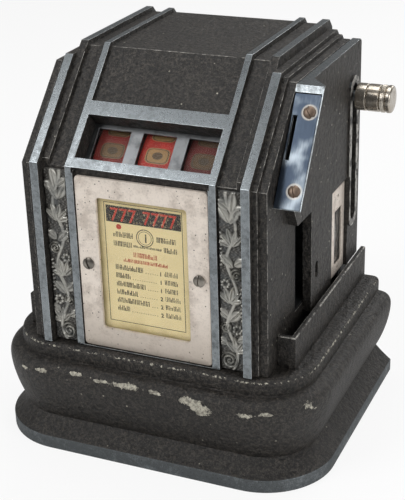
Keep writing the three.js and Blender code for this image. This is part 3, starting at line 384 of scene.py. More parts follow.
def bare_aluminium(name, grain=0.0):
    """Casting rubbed bright along its faces: fine streaks, darker stains and pits."""
    finish = Finish(name)
    colours = bpy.context.scene.machine_colours
    stains = finish.noise(11 * MM, 4, 0.6)
    rubbed = finish.noise(2.2 * MM, 4, 0.68)
    sand = finish.noise(0.45 * MM, 3, 0.7)
    pits = 1 - finish.step(finish.cells(1.3 * MM), 0.10, 0.2)
    dull = finish.step(stains * 0.35 + rubbed * 0.4 + sand * (0.25 + grain * 0.25), 0.42 - grain * 0.04, 0.66)
    shade = finish.blend(dull, colours.aluminium, colours.aluminium_dark)
    pit_shade = tuple(0.3 * v for v in colours.aluminium_dark)
    return finish.finish(
        Base_Color=finish.blend(pits * (0.2 + grain * 0.6), shade, pit_shade),
        Metallic=0.9,
        Roughness=0.24 + dull * 0.24 + grain * 0.12,
        Normal=finish.bump(sand * 0.4 + rubbed * 0.5 - pits * 0.5, 0.22 + grain * 0.6, 0.08 * MM),
    )


def relief_aluminium(name, back, height):
    """Cast ornament: bright where it stands out, nearly black in its hollows, from the depth along Y."""
    finish = Finish(name)
    colours = bpy.context.scene.machine_colours
    raised = (back - finish.y) / height
    sand = finish.noise(0.45 * MM, 3, 0.7)
    stains = finish.noise(5 * MM, 3, 0.6)
    bright = finish.step(raised + (sand - 0.5) * 0.3, 0.10, 0.62)
    shade = finish.blend(bright, (0.07, 0.066, 0.06), colours.relief)
    return finish.finish(
        Base_Color=finish.blend(finish.step(stains, 0.42, 0.7) * 0.55, shade, colours.aluminium_dark),
        Metallic=0.35 + bright * 0.5,
        Roughness=0.62 - bright * 0.24,
        Normal=finish.bump(sand, 0.45, 0.08 * MM),
    )


def nickel_plate(name, foot=None):
    """Worn nickel: a warm pale ground with dark pits and rubbed stains, browner below the height `foot`."""
    finish = Finish(name)
    colours = bpy.context.scene.machine_colours
    pits = specks(finish, 2.4 * MM, 0.42, 0.16)
    stains = finish.noise(10 * MM, 5, 0.68)
    fine = finish.noise(0.9 * MM, 3, 0.7)
    worn = finish.step(stains, 0.44, 0.66)
    shade = finish.blend(worn * 0.55, colours.nickel, (0.46, 0.39, 0.33))
    shade = finish.blend(finish.step(fine, 0.50, 0.72) * (0.25 + worn * 0.4), shade, (0.36, 0.31, 0.27))
    if foot:
        ragged = finish.z + (stains - 0.5) * 40 * MM
        low = 1 - finish.step(ragged, foot - 22 * MM, foot + 12 * MM)
        shade = finish.blend(low * 0.55, shade, (0.30, 0.25, 0.20))
    return finish.finish(
        Base_Color=finish.blend(pits * 0.9, shade, (0.08, 0.065, 0.055)),
        Metallic=0.35,
        Roughness=0.36 + worn * 0.22,
        Normal=finish.bump(fine - pits, 0.35, 0.06 * MM),
    )


def polished_nickel(name):
    """The knob's plating: bright and warm, with browner rubbed rings."""
    finish = Finish(name)
    colours = bpy.context.scene.machine_colours
    rubbed = finish.noise(4 * MM, 4, 0.6)
    rings = finish.noise(1.1 * MM, 2, 0.5, stretch=(1, 0.05, 0.05))
    shade = finish.blend(finish.step(rubbed, 0.4, 0.7) * 0.6, colours.knob, (0.33, 0.27, 0.20))
    return finish.finish(
        Base_Color=shade,
        Metallic=0.95,
        Roughness=0.16 + rubbed * 0.22,
        Normal=finish.bump(rings, 0.12, 0.04 * MM),
    )


def swept_steel(name, screws):
    """The coin plate: blued steel with cloudy bright patches and scratches, a pale ring round each screw."""
    finish = Finish(name)
    colours = bpy.context.scene.machine_colours
    clouds = finish.noise(12 * MM, 2, 0.5)
    scratches = finish.noise(0.7 * MM, 3, 0.6, stretch=(1, 0.16, 0.16))
    bright = finish.step(clouds * 0.9 + scratches * 0.12, 0.44, 0.74)
    shade = finish.blend(bright, colours.blued_steel, colours.bright_steel)
    for centre in screws:
        away = finish.node("ShaderNodeVectorMath", {"operation": "DISTANCE"}, [finish.point, centre], "Value")
        ring = (1 - finish.step(away, 3.2 * MM, 3.9 * MM)) * (0.5 + scratches * 0.4)
        shade = finish.blend(ring * 0.7, shade, (0.42, 0.38, 0.32))
    return finish.finish(
        Base_Color=shade,
        Metallic=0.75,
        Roughness=0.26 + scratches * 0.2,
        Normal=finish.bump(scratches, 0.2, 0.04 * MM),
    )


def worked_metal(name, shade, rough=0.34):
    """Machined metal with fine tool marks and a little tarnish."""
    finish = Finish(name)
    tarnish = finish.noise(7 * MM, 4, 0.6)
    marks = finish.noise(0.4 * MM, 2, 0.6, stretch=(1, 0.2, 1))
    dull = tuple(0.45 * v for v in shade)
    return finish.finish(
        Base_Color=finish.blend(finish.step(tarnish, 0.4, 0.72), tuple(shade), dull),
        Metallic=0.92,
        Roughness=rough + tarnish * 0.15,
        Normal=finish.bump(marks, 0.15, 0.04 * MM),
    )


def aged_card(name, middle, half):
    """Cream card, browner towards its edges and in blotches, with paper fibre."""
    finish = Finish(name)
    colours = bpy.context.scene.machine_colours
    fibre = finish.noise(0.6 * MM, 4, 0.7)
    blotches = finish.noise(16 * MM, 3, 0.6)
    edge = finish.most(abs(finish.x - middle[0]) / half[0], abs(finish.z - middle[2]) / half[1])
    yellowed = finish.step(edge + (blotches - 0.5) * 0.5, 0.72, 1.02)
    shade = finish.blend(yellowed * 0.75, colours.card, colours.card_edge)
    return finish.finish(
        Base_Color=finish.blend(finish.step(fibre, 0.55, 0.8) * 0.25, shade, colours.card_edge),
        Roughness=0.75 + fibre * 0.15,
        Normal=finish.bump(fibre, 0.15, 0.05 * MM),
    )


def print_ink(name, shade, ground):
    """Printed ink, thin in places so that the card shows through."""
    finish = Finish(name)
    thin = finish.noise(0.7 * MM, 3, 0.7)
    return finish.finish(
        Base_Color=finish.blend(finish.step(thin, 0.52, 0.72) * 0.6, tuple(shade), tuple(ground)),
        Roughness=0.7 + thin * 0.1,
    )


def reel_print(name, centre, stops, middle, lit_share):
    """Reel paper: a tan panel with a dark figure at each stop, on red, by the angle about the shaft. The red
    and tan are darkened by the last argument, the share of them left lit: a painted shade."""
    finish = Finish(name)
    colours = bpy.context.scene.machine_colours
    angle = (finish.z - centre[2]).maths("ARCTAN2", finish.z - centre[2], finish.y - centre[1])
    turn = angle * (stops / TURN) + stops
    place = turn.maths("FRACT", turn) - 0.5
    which = turn.maths("FLOOR", turn)
    across = (finish.x - middle) / (STRIP_HALF * MM)
    shaky = finish.noise(1.1 * MM, 3, 0.6)
    corner = abs(across * 0.94) ** 4 + abs(place * 1.55) ** 4 * 2.2
    panel = 1 - finish.step(corner + (shaky - 0.5) * 0.03, 0.16, 0.19)
    rim = finish.band(corner, 0.095, 0.115, 0.02)
    kind = which.maths("MODULO", which, 3.0)
    round_figure = (across * 0.8) ** 2 + (place * 1.5) ** 2
    disc = 1 - finish.step(round_figure, 0.045, 0.07)
    bars = (1 - finish.step(abs(across), 0.42, 0.47)) * (1 - finish.step(abs(abs(place) - 0.1), 0.045, 0.06))
    lower = (1 - finish.step(abs(across), 0.55, 0.6)) * finish.band(place, -0.26, -0.16, 0.02)
    first = 1 - finish.step(kind, 0.4, 0.6)
    second = finish.band(kind, 0.8, 1.2, 0.1)
    figure = finish.most(disc * first + bars * second, lower * (1 - first))
    fade = finish.noise(6 * MM, 3, 0.6)
    # Painted shade: the red and tan are darkened to the share given for this reel.
    red = tuple(lit_share * v for v in colours.reel)
    shade = finish.blend(finish.step(fade, 0.4, 0.7) * 0.5, red, tuple(0.4 * v for v in red))
    shade = finish.blend(panel, shade, tuple(lit_share * v for v in colours.symbol))
    shade = finish.blend(finish.most(rim, figure) * panel * 0.85, shade, (0.05, 0.035, 0.02))
    return finish.finish(
        Base_Color=shade,
        Roughness=0.55 + fade * 0.15,
        Normal=finish.bump(shaky, 0.08, 0.04 * MM),
    )


def glass(name, haze, dirt=0.0):
    """Clear glass with a film of dust that thickens in patches."""
    finish = Finish(name)
    film = finish.noise(11 * MM, 4, 0.6)
    dust = finish.noise(0.9 * MM, 3, 0.7)
    veil = finish.step(film * 0.7 + dust * 0.3, 0.42, 0.72)
    clear = finish.node("ShaderNodeBsdfPrincipled", inputs={
        "Base Color": (0.95, 0.96, 0.95, 1), "Roughness": 0.03, "Transmission Weight": 1.0, "IOR": 1.2,
    })
    dusty = finish.node("ShaderNodeBsdfPrincipled", inputs={
        "Base Color": finish.blend(dirt + dust * 0.1, (0.62, 0.57, 0.53), (0.30, 0.13, 0.10)),
        "Roughness": 0.7,
    })
    mixed = finish.node("ShaderNodeMixShader", inputs=[veil * haze + haze * 0.15, clear, dusty])
    finish.node("ShaderNodeOutputMaterial", inputs=[mixed])
    return finish.material


# ---- Surfaces --------------------------------------------------------------------------------

def quads(rows, columns, wrap_rows=False, wrap_columns=False):
    """Faces of a grid of points: each joins a point to its neighbours in the next row and column."""
    row = np.arange(rows if wrap_rows else rows - 1)[:, None]
    column = np.arange(columns if wrap_columns else columns - 1)[None, :]
    next_row = (row + 1) % rows
    next_column = (column + 1) % columns
    corners = [row * columns + column, row * columns + next_column]
    corners += [next_row * columns + next_column, next_row * columns + column]
    return np.stack(corners, -1).reshape(-1, 4)


def new_piece(name, points, faces, body, finishes, face_finish=None, smooth=True, replaces=()):
    """A mesh object at the origin from points in metres, with its normals made to point out."""
    mesh = bpy.data.meshes.new(name)
    corners = np.asarray(points, float).reshape(-1, 3).tolist()
    mesh.from_pydata(corners, [], [list(map(int, f)) for f in faces])
    for material in finishes:
        mesh.materials.append(material)
    if face_finish is not None:
        mesh.polygons.foreach_set("material_index", np.asarray(face_finish, np.int32))
    shape = bmesh.new()
    shape.from_mesh(mesh)
    bmesh.ops.recalc_face_normals(shape, faces=shape.faces)
    for edge in shape.edges:
        edge.smooth = len(edge.link_faces) == 2 and edge.calc_face_angle() < SHARP_ANGLE
    for face in shape.faces:
        face.smooth = smooth
    shape.to_mesh(mesh)
    shape.free()
    return place_piece(bpy.data.objects.new(name, mesh), body, replaces)


def place_piece(made, body, replaces=()):
    """Puts an object in the scene and on its body, and hides the nodes that it replaces."""
    bpy.context.scene.collection.objects.link(made)
    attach(made, body)
    if replaces:
        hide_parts(*replaces)
    return made


def loft(rings, wrap=False):
    """Points and faces through closed rings of points, capped flat at both ends unless it wraps."""
    rings = np.asarray(rings, float)
    rows, columns = rings.shape[:2]
    faces = quads(rows, columns, wrap_rows=wrap, wrap_columns=True).tolist()
    if not wrap:
        faces.append(list(range(columns))[::-1])
        faces.append(list(range((rows - 1) * columns, rows * columns)))
    return rings.reshape(-1, 3), faces


def turned(profile, centre, sides):
    """Rings of a profile of (radius, x) turned about an X axis: y = r cos a, z = r sin a round the centre."""
    profile = np.asarray(profile, float)
    angle = np.arange(sides) * TURN / sides
    y = centre[1] + profile[:, :1] * np.cos(angle)
    z = centre[2] + profile[:, :1] * np.sin(angle)
    return np.stack([np.broadcast_to(profile[:, 1:], y.shape), y, z], -1)


def rounded_rectangle(half_u, half_v, radius, arc=8, side=12):
    """A closed outline: a straight side, then a quarter circle at each corner, evenly sampled along each."""
    quarter = np.linspace(0, TURN / 4, arc)
    outline = []
    for k, (su, sv) in enumerate([(1, 1), (-1, 1), (-1, -1), (1, -1)]):
        angle = quarter + k * TURN / 4
        centre = np.array([su * (half_u - radius), sv * (half_v - radius)])
        outline.append(centre + radius * np.stack([np.cos(angle), np.sin(angle)], -1))
    closed = []
    for k in range(4):
        start, end = outline[k][-1], outline[(k + 1) % 4][0]
        between = np.linspace(0, 1, side + 2)[1:-1, None]
        closed += [outline[k], start + (end - start) * between]
    return np.concatenate(closed)


PAINT, BARE, WORN, EDGE_HIGHLIGHT = 0, 1, 2, 3     # a casting's finishes, in the order that casting_finishes gives; the last is a painted highlight for edges


def casting_finishes():
    """Paint, bare metal, worn paint and a painted highlight for edges."""
    return [FINISHES["paint"], FINISHES["aluminium"], FINISHES["worn"], FINISHES["bright"]]


def rounded_copy(node, name, finishes, choose=None, radius=None, shortest=1.2 * MM):
    """A merged copy of a CAD node with its long outer edges rounded, which stands for it.
    `choose` gives each face's finish from its centre and normal. On a casting, a rounded edge beside bare
    metal gets a painted highlight, and one between painted faces gets worn paint."""
    radius = radius or bpy.context.scene.machine_sizes.edge
    shape = bmesh.new()
    shape.from_mesh(frame["nodes"][node].data)
    bmesh.ops.remove_doubles(shape, verts=shape.verts, dist=1e-6)
    bmesh.ops.dissolve_limit(shape, angle_limit=math.radians(0.6), verts=shape.verts, edges=shape.edges)
    for face in shape.faces:
        face.material_index = choose(face.calc_center_median() / MM, face.normal) if choose else 0
    edges = [
        e for e in shape.edges
        if len(e.link_faces) == 2 and e.is_convex
        and e.calc_face_angle() > SHARP_ANGLE and e.calc_length() > shortest
    ]
    made = bmesh.ops.bevel(
        shape, geom=edges, offset=radius, offset_type="OFFSET", segments=2, profile=0.5,
        affect="EDGES", clamp_overlap=True, material=-1,
    )
    new = set(made["faces"])
    for face in new:
        beside = [f.material_index for e in face.edges for f in e.link_faces if f not in new]
        # Painted highlight on rounded edges beside bare metal; worn paint on those between painted faces.
        if len(finishes) > EDGE_HIGHLIGHT and beside and set(beside) <= {PAINT, BARE}:
            face.material_index = EDGE_HIGHLIGHT if BARE in beside else WORN
    for face in shape.faces:
        face.smooth = True
    for edge in shape.edges:
        edge.smooth = len(edge.link_faces) == 2 and edge.calc_face_angle() < SHARP_ANGLE
    mesh = bpy.data.meshes.new(name)
    shape.to_mesh(mesh)
    shape.free()
    for material in finishes:
        mesh.materials.append(material)
    body = frame["nodes"][node]["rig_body"]
    piece = place_piece(bpy.data.objects.new(name, mesh), body, [node])
    even = piece.modifiers.new("Even shading", "WEIGHTED_NORMAL")
    even.keep_sharp = True
    return piece


def finish_node(node, material):
    """Gives a CAD node that stays as it is its finish."""
    mesh = frame["nodes"][node].data
    mesh.materials.clear()
    mesh.materials.append(material)


# ---- Base ------------------------------------------------------------------------------------

FOOT = {"corner": 34, "rim": 6.6, "deck": 53.9, "deck_inset": 11}
NECK = (8.2, 13.9)
BELLY = (1.0, 39.6)
SHOULDER = (7.6, 46.1)
CHIPS = [                         # chips in the belly's paint: x, z, half width and half height, in mm
    (31, 38.0, 7.5, 4.2), (24, 41.5, 5, 2.0), (52, 39.5, 5, 1.6), (62, 41, 4, 1.2), (9, 42.2, 4.5, 1.2),
    (-6, 42.2, 8.5, 1.9), (-20, 42.4, 5, 1.2), (-33, 43.2, 4.5, 1.1), (-52, 41.8, 5, 1.5),
    (-62, 40.5, 3, 1.2),
]


def foot_plan(inset, z, back, corner_steps=26, front_steps=90, side_steps=56):
    """The foot's outline at height z, drawn in by `inset`: a straight back, two straight sides, and a
    straight front between two quarter circles of the corner radius less the inset. Closed by the back."""
    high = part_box("base_casting")[1] / MM
    half = Vector((high.x, high.y))
    cx, cy = half.x - FOOT["corner"], FOOT["corner"] - half.y
    radius = FOOT["corner"] - inset
    side = np.linspace(back, cy, side_steps)[:-1]
    left = np.stack([np.full_like(side, -cx - radius), side], -1)
    angle = np.linspace(TURN / 2, TURN * 0.75, corner_steps)
    arc = np.stack([-cx + radius * np.cos(angle), cy + radius * np.sin(angle)], -1)
    across = np.linspace(-cx, cx, front_steps)[1:-1]
    front = np.stack([across, np.full_like(across, cy - radius)], -1)
    plan = np.concatenate([left, arc, front, (arc * [-1, 1])[::-1], (left * [-1, 1])[::-1]])
    return np.column_stack([plan, np.full(len(plan), z)])


def bezier(points, steps):
    """Points along a Bezier curve after its start: its corners weighted by Bernstein polynomials."""
    points = np.asarray(points, float)
    t = np.linspace(0, 1, steps + 1)[1:, None]
    n = len(points) - 1
    return sum(math.comb(n, k) * t ** k * (1 - t) ** (n - k) * points[k] for k in range(n + 1))


def foot_profile():
    """The moulding from the rim's edge to the deck, as (inset, z): rim, neck, belly, shoulder and lip."""
    rim, deck, lip = FOOT["rim"], FOOT["deck"], FOOT["deck_inset"]
    shoulder_top = (SHOULDER[0] + 0.2, deck - 2.9)
    return np.concatenate([
        [(0.5, 0), (0.1, 0.15), (0, 0.5), (0, rim / 2), (0, rim - 0.35), (0.15, rim)],
        bezier([(0.15, rim), (NECK[0] / 2, rim + 2.9), NECK], 12),
        bezier([NECK, (3.9, NECK[1] + 8.1), (BELLY[0], BELLY[1] - 6.6), BELLY], 26),
        bezier([BELLY, (BELLY[0], SHOULDER[1] - 0.2), SHOULDER], 12),
        [(SHOULDER[0] + 0.25, SHOULDER[1] + 0.2)],
        [(SHOULDER[0] + 0.2, (SHOULDER[1] + deck) / 2 - 1.5), shoulder_top],
        bezier([shoulder_top, (SHOULDER[0] + 0.3, deck - 0.1), (lip, deck)], 8),
    ])


def foot_wear(points):
    """Wear from 0 to 1 at each point: a sum of soft ellipses on the belly's front, the scuffs of one corner,
    and a thin line along the deck's lip."""
    x, y, z = points.T
    front = 1 / (1 + np.exp((y + 52) / 3))
    wear = np.zeros_like(x)
    for cx, cz, rx, rz in CHIPS:
        wear += front * np.exp(-(((x - cx) / rx) ** 2) - ((z - cz) / rz) ** 2)
    corner = np.exp(-(((x - 76) / 6) ** 2) - ((y + 47) / 8) ** 2 - ((z - 41) / 3.5) ** 2)
    lip = 0.62 * np.exp(-(((z - FOOT["deck"] + 1.4) / 0.8) ** 2))
    return np.clip(np.maximum(wear, np.maximum(0.75 * corner, lip)), 0, 1)


class MACHINE_OT_base(bpy.types.Operator):
    """Builds the cast foot with its moulding and the side fences"""

    bl_idname = "machine.base"
    bl_label = "Base"

    def execute(self, context):
        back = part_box("base_casting")[1].y / MM
        rings = [foot_plan(inset, z, back) for inset, z in foot_profile()]
        rings += [foot_plan(30, FOOT["deck"], back)]
        inner = [(11.4, 50.3, 61.7), (11.4, 2.9, 61.7), (8.3, 2.9, 63.7), (8.3, 0, 63.7)]
        rings = [foot_plan(inset, z, deep) for inset, z, deep in inner] + rings
        points, faces = loft(rings)
        columns = len(rings[0])
        bands = np.arange(len(rings) - 1)
        bright = (bands >= len(inner) - 1) & (bands < len(inner) + 5)
        finish = np.concatenate([np.repeat(bright, columns).astype(int), [0, 0]])
        shell = new_piece(
            "foot_casting", points * MM, faces, "housing",
            [chipped_paint("Chipped paint"), bare_aluminium("Rim", 1.0)],
            finish, replaces=["base_casting"],
        )
        wear = shell.data.attributes.new("wear", "FLOAT", "POINT")
        wear.data.foreach_set("value", foot_wear(points).astype(np.float32))
        for side, name in ((-1, "left"), (1, "right")):
            self.fence(side, name)
        return {"FINISHED"}

    def fence(self, side, name):
        """An L-shaped wall lofted upwards, its top edge drawn in twice to round it."""
        low, high = (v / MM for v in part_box("base_casting"))
        outer, inner, front, return_to = 68, 65.6, -41.8, 59.4

        def outline(inset, z):
            corners = np.array([
                (return_to + inset, front + inset), (outer - inset, front + inset),
                (outer - inset, high.y - inset), (inner + inset, high.y - inset),
                (inner + inset, front + 2.4 - inset), (return_to + inset, front + 2.4 - inset),
            ])
            corners[:, 0] *= side
            return np.column_stack([corners, np.full(len(corners), z)])

        edge = bpy.context.scene.machine_sizes.edge / MM
        rings = [
            outline(0, FOOT["deck"] - 1), outline(0, high.z - edge),
            outline(edge * 0.3, high.z - edge * 0.3), outline(edge, high.z),
        ]
        points, faces = loft(rings)
        finish = np.repeat([0, 1, 1], 6).tolist() + [0, 0]
        new_piece(
            f"fence_{name}", points * MM, faces, "housing",
            [FINISHES["paint"], FINISHES["worn"]], finish,
        )


# ---- Case ------------------------------------------------------------------------------------

SLOPE_OUT = Vector((0, -math.sqrt(0.5), math.sqrt(0.5)))
TRIM_SLOPES = (197.5, 201.1)      # z - y of the inner and outer trims' faces on the slope, in mm
TRIM_FRONTS = (-54.2, -56.8)      # y of the trims' faces below the slope
TRIM_REACH = 53                   # how far from the middle those faces go
RIDGE_TOP = 188                   # a face that looks up from above this is a ridge's top


def case_finish(centre, normal):
    """Bare metal on the inner trim, window frame, outer trim's front and slope, and the ridges' tops."""
    rise = centre.z - centre.y
    if normal.dot(SLOPE_OUT) > 0.99 and any(abs(rise - trim) < 0.1 for trim in TRIM_SLOPES):
        return BARE
    on_front = normal.y < -0.99 and any(abs(centre.y - front) < 0.05 for front in TRIM_FRONTS)
    if on_front and abs(centre.x) < TRIM_REACH:
        return BARE
    if normal.z > 0.99 and centre.z > RIDGE_TOP:
        return BARE
    return PAINT


class MACHINE_OT_case(bpy.types.Operator):
    """Rounds the case casting's edges and paints it, with its trims left bright"""

    bl_idname = "machine.case"
    bl_label = "Case"

    def execute(self, context):
        finishes = casting_finishes()
        rounded_copy("case_casting", "case_shell", finishes, case_finish)
        return {"FINISHED"}


# ---- Ornament --------------------------------------------------------------------------------

def petal(across, along, at, heading, reach, width):
    """Height of a pointed petal: across its middle line a half round of width sin(pi u) ^ 0.7, u being the
    share of its length, with a groove along the middle."""
    du, dv = across - at[0], along - at[1]
    u = (du * math.sin(heading) + dv * math.cos(heading)) / reach
    v = (du * math.cos(heading) - dv * math.sin(heading)) / width
    half = np.sin(np.pi * np.clip(u, 0, 1)) ** 0.7 + 1e-6
    body = np.sqrt(np.clip(1 - (v / half) ** 2, 0, 1)) * ((u > 0) & (u < 1))
    return body * (1 - 0.45 * np.exp(-((v / 0.16) ** 2))) * (0.72 + 0.28 * u)


def bead(across, along, at, radius):
    """Height of a half round bead."""
    away = np.hypot(across - at[0], along - at[1]) / radius
    return 0.9 * np.sqrt(np.clip(1 - away ** 2, 0, 1))


def scroll(across, along, at, radius, hand):
    """Height of a spiral ridge: the distance from the centre less the spiral's own radius at that angle."""
    du, dv = (across - at[0]) * hand, along - at[1]
    away, angle = np.hypot(du, dv), np.arctan2(dv, du)
    turn = away / (radius * 0.42) - angle / TURN
    ridge = np.abs(turn - np.round(turn)) * 2
    return 0.85 * np.clip(1.25 - 1.8 * ridge, 0, 1) ** 0.6 * (away < radius)


def ornament_height(across, along, hand):
    """Height from 0 to 1 of the cast scroll and leaf work: at each point the highest of a waving stem, fans
    of petals, paired leaves, beads and scrolls. `across` and `along` are in mm from the panel's bottom
    middle."""
    across = across * hand
    wave = 2.3 * np.sin(TURN * along / 31)
    high = 0.66 * np.sqrt(np.clip(1 - ((across - wave) / 1.1) ** 2, 0, 1))
    motifs = [scroll(across, along, (-1.6, 5.2), 4.2, 1), scroll(across, along, (2.4, 47.5), 3.1, -1)]
    motifs.append(scroll(across, along, (-2.9, 21.5), 2.7, 1))
    for base, tilt, count, reach in (
        ((0.6, 61), -0.25, 5, 9.5), ((-1, 33.5), 0.2, 5, 9), ((1.5, 9.5), 0.25, 4, 8),
    ):
        for heading in np.linspace(-1.0, 1.0, count) + tilt:
            motifs.append(petal(across, along, base, heading, reach * (1 - 0.22 * abs(heading)), 1.7))
    for at, heading, reach in (
        ((-1.5, 26), -0.9, 6.5), ((-1.2, 24.5), 0.75, 7), ((1.2, 52), 1.0, 6), ((0.8, 51), -0.8, 7.5),
        ((-0.5, 71.5), 0.5, 8.5), ((-0.8, 72), -0.55, 8), ((0.2, 77), 0.15, 9), ((0.5, 76), 1.0, 6.5),
        ((-0.6, 78), -0.95, 6.5), ((2.2, 15), 1.1, 5.5), ((-2.4, 13), -1.1, 5.2),
    ):
        motifs.append(petal(across, along, at, heading, reach * 1.15, 2.5))
    for k in range(7):
        turn = TURN * k / 7
        motifs.append(bead(across, along, (2.6 + 1.9 * math.cos(turn), 21 + 1.9 * math.sin(turn)), 0.95))
        motifs.append(bead(across, along, (-3.0 + 1.7 * math.cos(turn), 43 + 1.7 * math.sin(turn)), 0.9))
    for k in range(9):
        motifs.append(bead(across, along, (4.7 - 0.25 * (k % 2), 26 + 1.9 * k), 0.8))
        motifs.append(bead(across, along, (-4.8 + 0.25 * (k % 2), 52 + 1.9 * k), 0.8))
    high = np.maximum.reduce([high, *motifs])
    ground = 0.13 * (1 + np.sin(across * 2.9 + 2 * np.sin(along * 1.3)) * np.sin(along * 2.6))
    ends = np.clip(along / 0.6, 0, 1) * np.clip((86.4 - along) / 0.6, 0, 1)
    edge = np.clip((5.9 - np.abs(across)) / 0.5, 0, 1) * ends
    return np.clip(np.maximum(high, ground) * edge, 0, 1)


class MACHINE_OT_ornament(bpy.types.Operator):
    """Casts the scroll and leaf relief of the two front panels"""

    bl_idname = "machine.ornament"
    bl_label = "Ornament"

    def execute(self, context):
        relief = context.scene.machine_sizes.relief
        for side, name in ((-1, "left"), (1, "right")):
            node = f"ornament_panel_{name}"
            low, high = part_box(node)
            finish = relief_aluminium(f"Relief {name}", high.y, high.y - low.y)
            u = np.linspace(low.x, high.x, 76)
            v = np.linspace(low.z, high.z, 520)
            x, z = np.meshgrid(u, v)
            across = (x - (low.x + high.x) / 2) / MM
            y = high.y - 0.1 * MM - relief * ornament_height(across, (z - low.z) / MM, side)
            front = np.stack([x, y, z], -1)
            back = front.copy()
            back[..., 1] = high.y
            points, faces = closed_sheet(front, back)
            new_piece(f"relief_{name}", points, faces, "housing", [finish], replaces=[node])
        return {"FINISHED"}


def closed_sheet(front, back):
    """Points and faces of a sheet with a modelled front, a flat back of one face, and walls round it."""
    rows, columns = front.shape[:2]
    top = np.arange(rows * columns).reshape(rows, columns)
    border = np.concatenate([top[0, :-1], top[:-1, -1], top[-1, :0:-1], top[:0:-1, 0]])
    rim = back.reshape(-1, 3)[border]
    below = rows * columns + np.arange(len(border))
    walls = np.stack([border, below, np.roll(below, -1), np.roll(border, -1)], -1)
    faces = quads(rows, columns).tolist() + walls.tolist() + [below.tolist()]
    return np.concatenate([front.reshape(-1, 3), rim]), faces


# ---- Award plate and card --------------------------------------------------------------------

PLATE_WINDOW = {"half": (22, 32.35), "middle": 97.45, "corner": 1.6}


def frame_rings(middle, half, corner, hole_middle, hole_half, hole_corner, front, back, edge):
    """Rings of a flat frame from its outer back edge over its front to its inner back edge: every ring is a
    rounded rectangle, and the two front edges are drawn in to round them."""
    def ring(centre, sizes, radius, y):
        outline = rounded_rectangle(*sizes, radius) + centre
        return np.stack([outline[:, 0], np.full(len(outline), y), outline[:, 1]], -1)

    rings = []
    for drawn, depth in ((0, back), (0, front + edge), (0.3 * edge, front + 0.3 * edge), (edge, front)):
        rings.append(ring(middle, np.array(half) - drawn, corner - drawn * 0.5, depth))
    for drawn, depth in ((edge, front), (0.3 * edge, front + 0.3 * edge), (0, front + edge), (0, back)):
        rings.append(ring(hole_middle, np.array(hole_half) + drawn, hole_corner + drawn * 0.5, depth))
    return np.array(rings)


class MACHINE_OT_award_plate(bpy.types.Operator):
    """Builds the nickelled plate with its rounded window"""

    bl_idname = "machine.award_plate"
    bl_label = "Award plate"

    def execute(self, context):
        low, high = (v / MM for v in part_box("award_plate"))
        middle = np.array([0, (low.z + high.z) / 2])
        half = ((high.x - low.x) / 2, (high.z - low.z) / 2)
        hole = np.array([0, PLATE_WINDOW["middle"]])
        corner = context.scene.machine_sizes.plate_corner / MM
        rings = frame_rings(
            middle, half, corner, hole, PLATE_WINDOW["half"], PLATE_WINDOW["corner"], low.y, high.y, 0.45,
        )
        points, faces = loft(rings, wrap=True)
        plate = nickel_plate("Award nickel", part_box("award_plate")[0].z + 18 * MM)
        new_piece(
            "award_frame", points * MM, faces, "housing", [plate], replaces=["award_plate"],
        )
        return {"FINISHED"}


class Printer:
    """Collects flat marks on the card's face, in mm across from its middle and up from the machine's foot."""

    def __init__(self, y):
        self.y = y
        self.points = []
        self.faces = []
        self.inks = []

    def shape(self, outline, ink):
        start = len(self.points)
        self.points += [(u, self.y, v) for u, v in outline]
        self.faces.append(list(range(start, start + len(outline))))
        self.inks.append(ink)

    def bar(self, left, right, low, high, ink=0):
        self.shape([(left, low), (right, low), (right, high), (left, high)], ink)

    def frame(self, left, right, low, high, line, ink=0):
        self.bar(left, right, low, low + line, ink)
        self.bar(left, right, high - line, high, ink)
        self.bar(left, left + line, low + line, high - line, ink)
        self.bar(right - line, right, low + line, high - line, ink)

    def circle(self, u, v, radius, ink=0, line=None, sides=28):
        """A disc, or a ring of a given line."""
        turn = np.arange(sides) * TURN / sides
        edge = np.stack([u + radius * np.cos(turn), v + radius * np.sin(turn)], -1)
        if line is None:
            self.shape(edge.tolist(), ink)
            return
        inside = (edge - [u, v]) * (1 - line / radius) + [u, v]
        for k in range(sides):
            j = (k + 1) % sides
            self.shape([edge[k], edge[j], inside[j], inside[k]], ink)

    def strokes(self, left, right, low, high, rng, ink=0):
        """Upright strokes in groups, which read as a printed word from afar and say nothing."""
        at = left
        while at < right:
            wide = rng.uniform(0.22, 0.42)
            top = high if rng.random() < 0.75 else low + (high - low) * 0.62
            self.bar(at, min(at + wide, right), low, top, ink)
            if rng.random() < 0.45:
                middle = low + (high - low) * rng.choice([0.0, 0.42, 0.8])
                self.bar(at, min(at + wide + 0.45, right), middle, middle + 0.24, ink)
            at += wide + rng.uniform(0.22, 0.5)


def digits(text, name, size, left, low, y, ink, width=1.0):
    """Plain numbers as a flat mesh on the card's face, `size` mm high."""
    curve = bpy.data.curves.new(name, "FONT")
    curve.body = text
    curve.size = size * MM * 1.38
    curve.offset = 0.00006
    made = bpy.data.objects.new(name, curve)
    bpy.context.scene.collection.objects.link(made)
    bpy.context.view_layer.update()
    mesh = bpy.data.meshes.new_from_object(made.evaluated_get(bpy.context.evaluated_depsgraph_get()))
    bpy.data.objects.remove(made)
    mesh.transform(Matrix.Translation((left * MM, y * MM, low * MM)) @ Matrix.Rotation(TURN / 4, 4, "X")
                   @ Matrix.Diagonal((width, 1, 1, 1)))
    mesh.materials.clear()
    mesh.materials.append(ink)
    return place_piece(bpy.data.objects.new(name, mesh), "housing")


